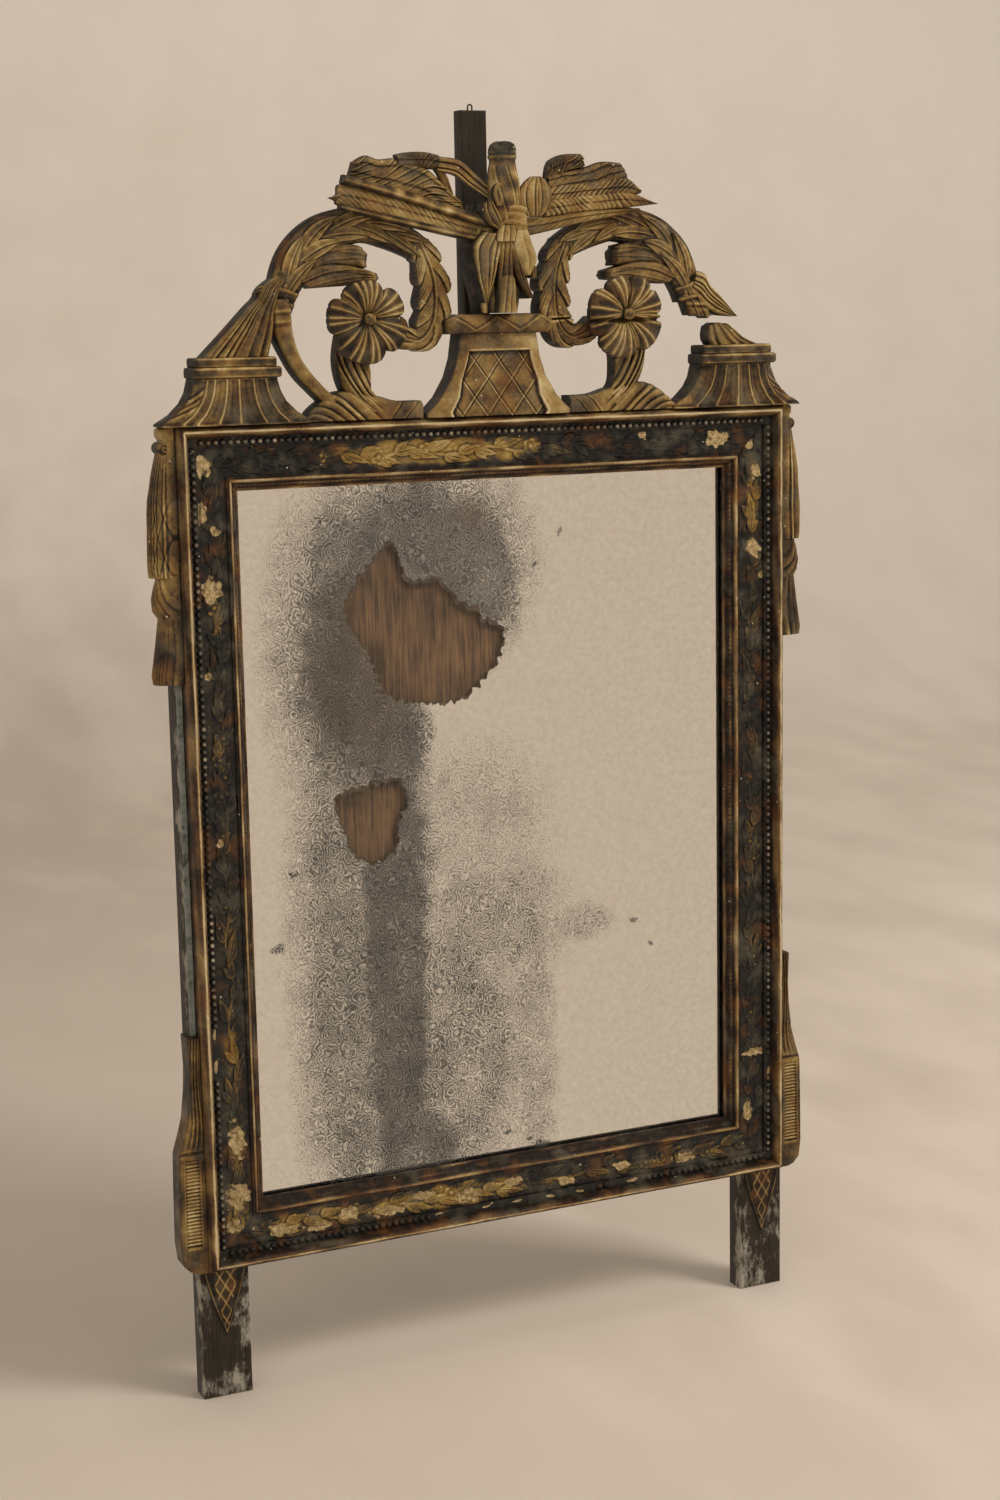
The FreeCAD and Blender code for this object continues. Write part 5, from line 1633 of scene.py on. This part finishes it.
# Upper edge, lower edge, front, number of barbs, their slant and gold
LEFT_ARROWS = [
    feather([(158, 187.5), (151, 190), (145, 199), (100, 190), (60, 178), (12, 165)],
            [(158, 187.5), (152, 185), (147, 180.5), (104, 171), (60, 161), (12, 150.5)],
            31.0, 24, -1.6, 0.16, rows=150),
    shaft([(149, 180.5, 2.6), (104, 170.5, 3.0), (60, 161, 3.2), (12, 151, 3.2)], 29.0, 34.0, -0.1),
    shaft([(146, 203, 3.6), (100, 191.5, 4.4), (60, 180, 4.6), (12, 166, 4.6)], 31.0, 37.6, -0.02),
    feather([(136, 217), (124, 222.5), (112, 219.5), (95, 220.5), (74, 216), (56, 203), (36, 184)],
            [(140, 205), (128, 200), (114, 196), (98, 191.5), (80, 187), (60, 181), (36, 174)],
            31.5, 11, 1.7, -0.04, depth=1.8, folds=3, rows=140, cols=41),
    feather([(97, 223.5), (86, 225.5), (70, 225.8), (57, 223.5)],
            [(95, 214), (82, 213), (68, 212), (55, 211)],
            33.0, 4, 0.8, -0.22, depth=1.2),
    feather([(62, 214), (56, 205), (52, 195), (46, 186)], [(54, 214), (48, 204), (45, 196), (42, 186)],
            31.0, 3, 1.0),
]
RIGHT_ARROWS = [
    feather([(48, 208), (83, 214), (101, 219), (119, 218.3)],
            [(46, 186), (85, 190), (110, 196), (127, 203)],
            30.5, 6, 2.2, -0.05, depth=1.5, folds=4, cols=45),
    feather([(46, 198), (90, 202), (124, 205), (139, 195)], [(44, 182), (85, 186), (118, 189), (137, 191)],
            32.5, 18, 1.2, -0.02, depth=1.1),
    feather([(44, 186), (90, 191), (125, 193), (154, 182.8)],
            [(42, 171), (85, 176), (118, 178.5), (154, 182.3)],
            34.0, 21, -1.3, 0.05, depth=1.1),
    feather([(12, 170), (45, 173), (90, 178), (137, 179)],
            [(12, 152), (45, 158.5), (85, 167), (137, 175.7)],
            31.5, 12, 1.8, 0.02, depth=1.3),
    feather([(46, 214), (50, 220), (63, 225), (80, 225.6)], [(44, 203), (56, 207), (68, 211), (83, 214)],
            31.5, 4, 0.9, -0.25, depth=1.5),
]
carve("left_feather_carving", flipped(LEFT_ARROWS), "left_feather")
carve("right_feather_carving", RIGHT_ARROWS, "right_feather")

# %% [markdown]
# A ribbon ties each bundle. On the left it lies along the arrows in long folds. On the right it makes a
# pleated loop, gathered at its foot like a shell.

# %% Ribbons
RIBBON = [(59, 216, 6.2), (41, 212.5, 6.6), (26, 202.5, 6), (8, 189, 5)]
RIBBON_BACK = 28.2
LOOP_X = 33
LOOP_LOW = 171.5
LOOP_H = 34.0
LOOP_HALF = 16.6
LOOP_BACK = 33.0
LOOP_TOP = 41.4


def ribbon_shells():
    flat, along, across = band(RIBBON, 90, 31)
    forward = 32.5 + 2.8 * flutes(across, 3, 95) + 1.8 * np.sin(2.4 * math.pi * along)
    return [crest(flat, forward, RIBBON_BACK, spread=2.4, gold=0.04)]


def loop_shells():
    """A pleated loop of ribbon, gathered at its foot like a shell."""
    along, across = net(70, 51)
    half = LOOP_HALF * np.sin(math.pi * unit(0.10 + 0.86 * along)) ** 0.62
    flat = laid(LOOP_X + half * across - 4 * (1 - along), LOOP_LOW + LOOP_H * along)
    drift = np.clip(across + 0.2 * np.sin(2 * along), -1, 1)
    body = 4.0 * bowed(across, 0.95) * np.sin(math.pi * (0.15 + 0.75 * along))
    forward = 35.5 + body + 2.0 * flutes(drift, 4, 96) + 0.6 * veins(drift * half, (-8.0, 3.0), 0.7)
    return [crest(flat, np.minimum(forward, LOOP_TOP), LOOP_BACK, spread=2.4, gold=-0.02)]


carve("left_ribbon_carving", flipped(ribbon_shells()), "left_ribbon")
carve("right_ribbon_carving", loop_shells(), "right_ribbon")

# %% [markdown]
# The quiver is turned, with a collar and a broken mouth. A profile swept round an upright axis would do
# for a new one. Here its front half and back half are two grids, so that knife marks can bend them.

# %% Quiver
QUIVER_X = 1.5
QUIVER_FORWARD = 34.0
# Height and radius
QUIVER = [(168, 12.4), (176, 13.4), (190, 14.8), (200, 14.6), (210, 13.0), (217, 11.6), (219.5, 11.4),
          (221, 12.6), (222.8, 12.8), (223.6, 11.6), (225, 12.2), (229, 12.0), (232.5, 10.8), (234.6, 7.5),
          (235.3, 3.0)]
QUIVER_CREASES = (-0.75, 0.1, 0.8)
COLLAR_LOW = 214
COLLAR_GROOVE = 223.5
MOUTH = (224, 233)
MOUTH_DARK = (225, 228)


def turned(profile, x, forward, seed):
    """A turned body on an upright axis, uneven from the knife and broken at its mouth."""
    line = rounded_section(profile, 1.0)
    z, turn = grid(line[:, 0], np.linspace(-0.5 * math.pi, 0.5 * math.pi, 45))
    radius = np.broadcast_to(line[:, 1][:, None], z.shape)
    creases = 0.7 * veins(turn + 0.02 * (z - 200), QUIVER_CREASES, 0.06) * (z < COLLAR_LOW)
    broken = 3.4 * hump(turn + 0.75, 0.4) * limits_of(z, *MOUTH)

    def half(sign):
        uneven = radius + (0.7 * wobble(turn * 9 * sign, z, 15, seed) + creases) * np.cos(turn)
        ahead = forward + sign * uneven * np.cos(turn)
        return stood(x + uneven * np.sin(turn), ahead, z - broken, FRAME_TOP)

    rub = rubbed(radius + creases, 3, 1.8) + 0.25 * wobble(turn * 9, z, 18, seed + 1)
    # Painted highlight: a pale band near both sides of the body
    rub = rub + 0.2 * hump(np.abs(turn) - 1.2, 0.2)
    rub = rub - 0.55 * limits_of(z, *MOUTH_DARK) - 0.5 * hump(z - COLLAR_GROOVE, 1.2)
    return shell(half(1), half(-1), rub)


carve("quiver_carving", [turned(QUIVER, QUIVER_X, QUIVER_FORWARD, 91)], "quiver")

# %% [markdown]
# The drapery under it is a stack of folds: two side falls, a short bell between them, a pouch flap that
# is still bright gold, and the knot and sash that tie it all.

# %% Drapery, sash and cord
DRAPERY_TOP = 49.8


def fold(left, right, front, folds, gold=0.0, depth=2.2, swell=2.0, back=8.0, rows=80, cols=37):
    """A fall of cloth between two edges, from the top down, with uneven folds."""
    flat, _, across = strip(left, right, rows, cols)
    seed = int(front * 7) + folds + rows
    drift = across + 0.16 * wobble(flat[..., 0], 0.4 * flat[..., 1], 30, seed)
    forward = front + depth * (flutes(drift, folds, seed) - 0.8) + swell * (1 - across ** 2)
    forward = forward - 3.0 * np.abs(across) ** 6 + 0.4 * rough(flat, 15, seed + 1)
    return crest(flat, np.minimum(forward, DRAPERY_TOP), back, spread=1.8, gold=gold)


# Left edge, right edge, front, number of folds and gold
DRAPERY = [
    fold([(-22, 182), (-27, 168), (-29, 146), (-24, 118), (-19, 89)],
         [(16, 182), (20, 168), (25, 146), (21, 116), (17, 89)], 31.0, 4, -0.1),
    fold([(-20, 158), (-30.5, 146), (-28, 128), (-24, 112), (-19.5, 98)],
         [(-1, 156), (-3, 144), (-7, 128), (-12, 112), (-17.5, 98)], 41.0, 4, 0.05),
    fold([(0, 150), (5, 138), (9, 125), (15, 112), (23.5, 101)],
         [(14, 152), (17, 140), (19, 127), (22, 114), (25.8, 103)], 41.5, 3, 0.02),
    fold([(-6, 150), (-6, 138), (-7, 124), (-8, 112)], [(8, 150), (7, 138), (8, 124), (9, 112)],
         42.0, 3, -0.12),
    fold([(-4, 121), (-7.0, 116), (-7.4, 102), (-8.6, 89)], [(6, 121), (8.6, 116), (9.2, 102), (10.4, 89)],
         44.0, 3, 0.16, depth=1.6, swell=4.0, rows=46),
    fold([(8, 161), (6, 152), (9, 138), (17, 121)], [(20, 161.5), (25, 149), (29.5, 134), (22, 121)],
         45.0, 2, 0.42, depth=1.2, back=30),
    fold([(23, 131), (23.5, 126), (24.5, 119)], [(29, 131), (30, 125), (29.5, 118)],
         41.0, 2, -0.05, back=30, rows=30, cols=19),
    fold([(-21, 183), (-22, 175), (-18, 166), (-9, 161)], [(-12, 184), (-7, 176), (-4, 169), (-1, 162)],
         45.0, 3, 0.12, depth=2.4, back=30, rows=46),
    fold([(-2, 183), (-3, 176), (0, 168), (4, 160)], [(18, 180), (19, 174), (20.5, 167), (21, 160)],
         45.2, 1, 0.1, depth=0.6, back=30),
    fold([(-6, 164), (-9, 158), (-10, 150)], [(8, 164), (11, 158), (10, 150)],
         46.0, 4, 0.1, depth=1.8, back=30, rows=34),
]
TIE_FRONT = 44.5
SASH_TURNS = 3
SASH_BACK = 34
CORD_HALF = 1.9
CORD_BACK = 40.0
CORD_LOOP = [(-8, 180), (-11, 190), (-9.5, 196), (-5.5, 198), (-2.8, 194), (-5, 186), (-6, 180)]


def sash_bands():
    """Turns of the sash round the quiver's foot."""
    shells = []
    for step in range(SASH_TURNS):
        stations = [(-4, 179 - 6 * step, 2.6), (8, 178.5 - 6.2 * step, 2.9), (20, 176 - 6.6 * step, 2.6)]
        flat, along, across = band(stations, 40, 15)
        forward = TIE_FRONT + 3.6 * bowed(across) - 4 * (2 * along - 1) ** 4
        shells.append(crest(flat, forward, SASH_BACK, spread=2.4, gold=0.1))
    return shells


def cord_loop():
    """A small open loop of cord beside the quiver."""
    flat, _, across = band([(x, z, CORD_HALF) for x, z in CORD_LOOP], 60, 13)
    return [crest(flat, TIE_FRONT + 2.4 * bowed(across), CORD_BACK)]


carve("trophy_drapery_carving", DRAPERY + sash_bands() + cord_loop(), "trophy_drapery")

# %% [markdown]
# ## Drops and consoles on the stiles
# A gathered drop of cloth hangs from each top corner, and a console with a ribbed panel stands at each
# bottom corner. They wrap round the stile's edge, so here the grid goes round: its columns run from the
# front, over the outer side, to the back.

# %% Side drops
RIM_X = 296.0
WRAP_X = 298.0
WRAP_FORWARD = 1.5
WRAP_HALF = 11.3
BESIDE_STILE = 302.05
STILE_FACE = 3.0
ROLL_R = 5.6
ROLL_X = RIM_X + 9.6
ROLL_Z = -18.0
ROLL_FRONT = 12.2
ROLL_HALF = 11.2
BELL_FOLDS = 13
KNOT_FOLDS = 7
SKIRT_FOLDS = 15
# Levels below the frame's top, and reach beyond the stile at each
BELL = ([-8, -24, -42, -62, -92, -121, -127], [5, 9, 14, 17.5, 19.5, 20, 19])
KNOT = ([-125, -134, -146, -156, -163], [12, 15, 18, 17, 12])
SKIRT = ([-160, -185, -211, -218.5], [12, 15.5, 20, 19])
SHOULDER = ([-0.5, -2.5, -8, -11], [5, 8.5, 8.5, 6])


def wrapped(levels, reach, relief, gold, rows, cols):
    """A carving round the stile's side: reach beyond the stile at each level, and relief over the grid."""
    along, around = grid(np.linspace(0, 1, rows), np.linspace(0, math.pi, cols))
    z = levels[0] + (levels[-1] - levels[0]) * along
    height = relief(along, around / math.pi)
    radius = np.interp(z, levels[::-1], reach[::-1]) + STILE_OUT - WRAP_X
    radius = radius + height * np.sin(around) ** 0.3
    forward = WRAP_FORWARD + (WRAP_HALF + np.minimum(height, 0) * 0.6) * np.cos(around)
    inner = np.where(forward > STILE_FACE, RIM_X + 0.5, BESIDE_STILE)
    x = np.maximum(WRAP_X + radius * np.sin(around) ** 0.5, inner + 0.2)
    rub = rubbed(height, 3, 1.7) + gold
    return shell(stood(x, forward, z, FRAME_TOP), stood(inner, forward, z, FRAME_TOP), rub)


def drop_shells(seed, depth, lozenges):
    def bell(along, around):
        folds = flutes(2 * around - 1 + 0.12 * np.sin(2.2 * along), BELL_FOLDS, seed)
        cuts = sum(hump((6 * around + sign * 3.5 * along) % 1 - 0.5, 0.07) for sign in (1, -1))
        cuts = lozenges * cuts * limits_of(along, 0.4, 0.55)
        uneven = 0.3 * wobble(60 * around, 110 * along, 25, seed)
        return depth * (folds - 1) * np.minimum(along * 3, 1) - cuts + uneven

    def knot(along, around):
        return 0.9 * depth * (flutes(2 * around - 1 + 0.9 * (along - 0.5), KNOT_FOLDS, seed + 2) - 1)

    def skirt(along, around):
        pleats = flutes(2 * around - 1 + 0.06 * np.sin(3 * along), SKIRT_FOLDS, seed + 1)
        return 0.8 * depth * (pleats - 1) * (0.4 + 0.6 * along)

    def plain(along, around):
        return np.zeros_like(along)

    shells = [
        wrapped(*BELL, bell, -0.1, 110, 113),
        wrapped(*KNOT, knot, -0.1, 60, 97),
        wrapped(*SKIRT, skirt, -0.1, 80, 125),
        wrapped(*SHOULDER, plain, 0.05, 24, 57),
    ]
    return shells + roll_shells()


def roll_shells():
    """The rod that the cloth hangs over, seen end on, with a scroll cut into its face."""
    along, turn = grid(np.linspace(-1, 1, 25), np.linspace(-0.5 * math.pi, 0.5 * math.pi, 25))
    radius = ROLL_R * (1 - 0.12 * along ** 8) - 0.8 * hump(np.abs(along) - 0.55, 0.1)
    forward = ROLL_FRONT - ROLL_HALF - ROLL_HALF * along

    def half(sign):
        z = ROLL_Z + sign * radius * np.cos(turn)
        return stood(ROLL_X + radius * np.sin(turn), forward, z, FRAME_TOP)

    rod = shell(half(1), half(-1), 0.1 + 0.5 * hump(np.abs(along) - 0.8, 0.08))
    a, b = disc(41)
    out = np.hypot(a, b)
    scroll = reeds(1.5 * out + np.arctan2(b, a) / (2 * math.pi)) * limits_of(out, 1.0, 0.92)
    flat = laid(ROLL_X + 0.9 * ROLL_R * a, ROLL_Z + 0.9 * ROLL_R * b)
    face = ROLL_FRONT - 1.2 + 1.4 * scroll
    return [rod, crest(flat, face, ROLL_FRONT - 3.0, reach=2, spread=1.4, gold=-0.2)]


FOLD_DEPTHS = {"left": 1.3, "right": 2.8}
LOZENGE_CUTS = {"left": 0.8, "right": 0.0}
for side, turn in HALVES:
    drop = drop_shells(101, FOLD_DEPTHS[side], LOZENGE_CUTS[side])
    carve(side + "_drop_carving", turn(drop), side + "_side_drop")

# %% [markdown]
# The console is a bracket with a flat front: a sunk panel of ribs below, and a leaf that thins out above
# it. Its outer edge follows a curve of reaches, and the side behind that edge is left smooth.

# %% Side consoles
CONSOLE_LEVELS = (217, 187, 166, 140, 127, 109, 79, 26, 8.7, 1.7, 0.2)
CONSOLE_REACHES = (5, 4, 5, 8, 11.5, 17, 17.8, 18.5, 16.5, 10, 4)
CONSOLE_FRONT = 12.4
CONSOLE_BACK = -9.8
CONSOLE_ROWS = 190
CORNER_MM = 1.5
PANEL_IN = RIM_X + 4.5
PANEL_BORDER = 5.0
PANEL_LOW = 24.0
PANEL_HIGH = 106.0
RIB_PITCH = 3.3
LEAF_VEINS = (0.2, 0.45, 0.7)
CONSOLE_GOLD = -0.1


def console_shells(seed):
    z = CONSOLE_LEVELS[0] * (1 - np.linspace(0, 1, CONSOLE_ROWS))
    outer = (STILE_OUT + np.interp(z, CONSOLE_LEVELS[::-1], CONSOLE_REACHES[::-1]))[:, None]
    front_steps = np.linspace(0, 1, 30)
    side_steps = np.linspace(0, 1, 16)[1:]
    x_front = RIM_X + 0.5 + (outer - RIM_X - 2.0) * front_steps
    x = np.concatenate([x_front, outer - 0.4 * side_steps], axis=1)
    on_side = CONSOLE_FRONT - CORNER_MM + (CONSOLE_BACK - CONSOLE_FRONT + CORNER_MM) * side_steps
    forward = np.concatenate([np.full(len(front_steps), CONSOLE_FRONT), on_side])
    on_front = np.arange(x.shape[1]) < len(front_steps)
    level = np.repeat(z[:, None], x.shape[1], axis=1)
    inside = limits_of(to_edge(x, level, PANEL_IN, outer - PANEL_BORDER, PANEL_LOW, PANEL_HIGH), 0, 1.0)
    ribs = reeds(level / RIB_PITCH)
    above = limits_of(level, PANEL_HIGH + 6, PANEL_HIGH + 16)
    bend = 0.12 * np.sin((level - PANEL_HIGH) / 16)
    leaf = veins((x - RIM_X) / (outer - RIM_X) + bend, LEAF_VEINS, 0.06)
    dip = -inside * (2.4 - 1.5 * ribs) + above * (0.9 * leaf - 0.9)
    dip = dip - 1.4 * hump(level - PANEL_HIGH - 6, 1.6)
    forward = forward + dip * on_front - 0.25 * np.abs(wobble(x, level, 15, seed)) * on_front
    inner = np.where(forward > STILE_FACE, RIM_X + 0.3, BESIDE_STILE)
    x = np.maximum(x, inner + 0.15)
    rub = np.where(on_front, rubbed(dip, 2, 1.6) + 0.3 * inside, 0.4) + CONSOLE_GOLD
    return [shell(stood(x, forward, level, FRAME_LOW), stood(inner, forward, level, FRAME_LOW), rub)]


for side, turn in HALVES:
    carve(side + "_console_carving", turn(console_shells(111)), side + "_side_console")
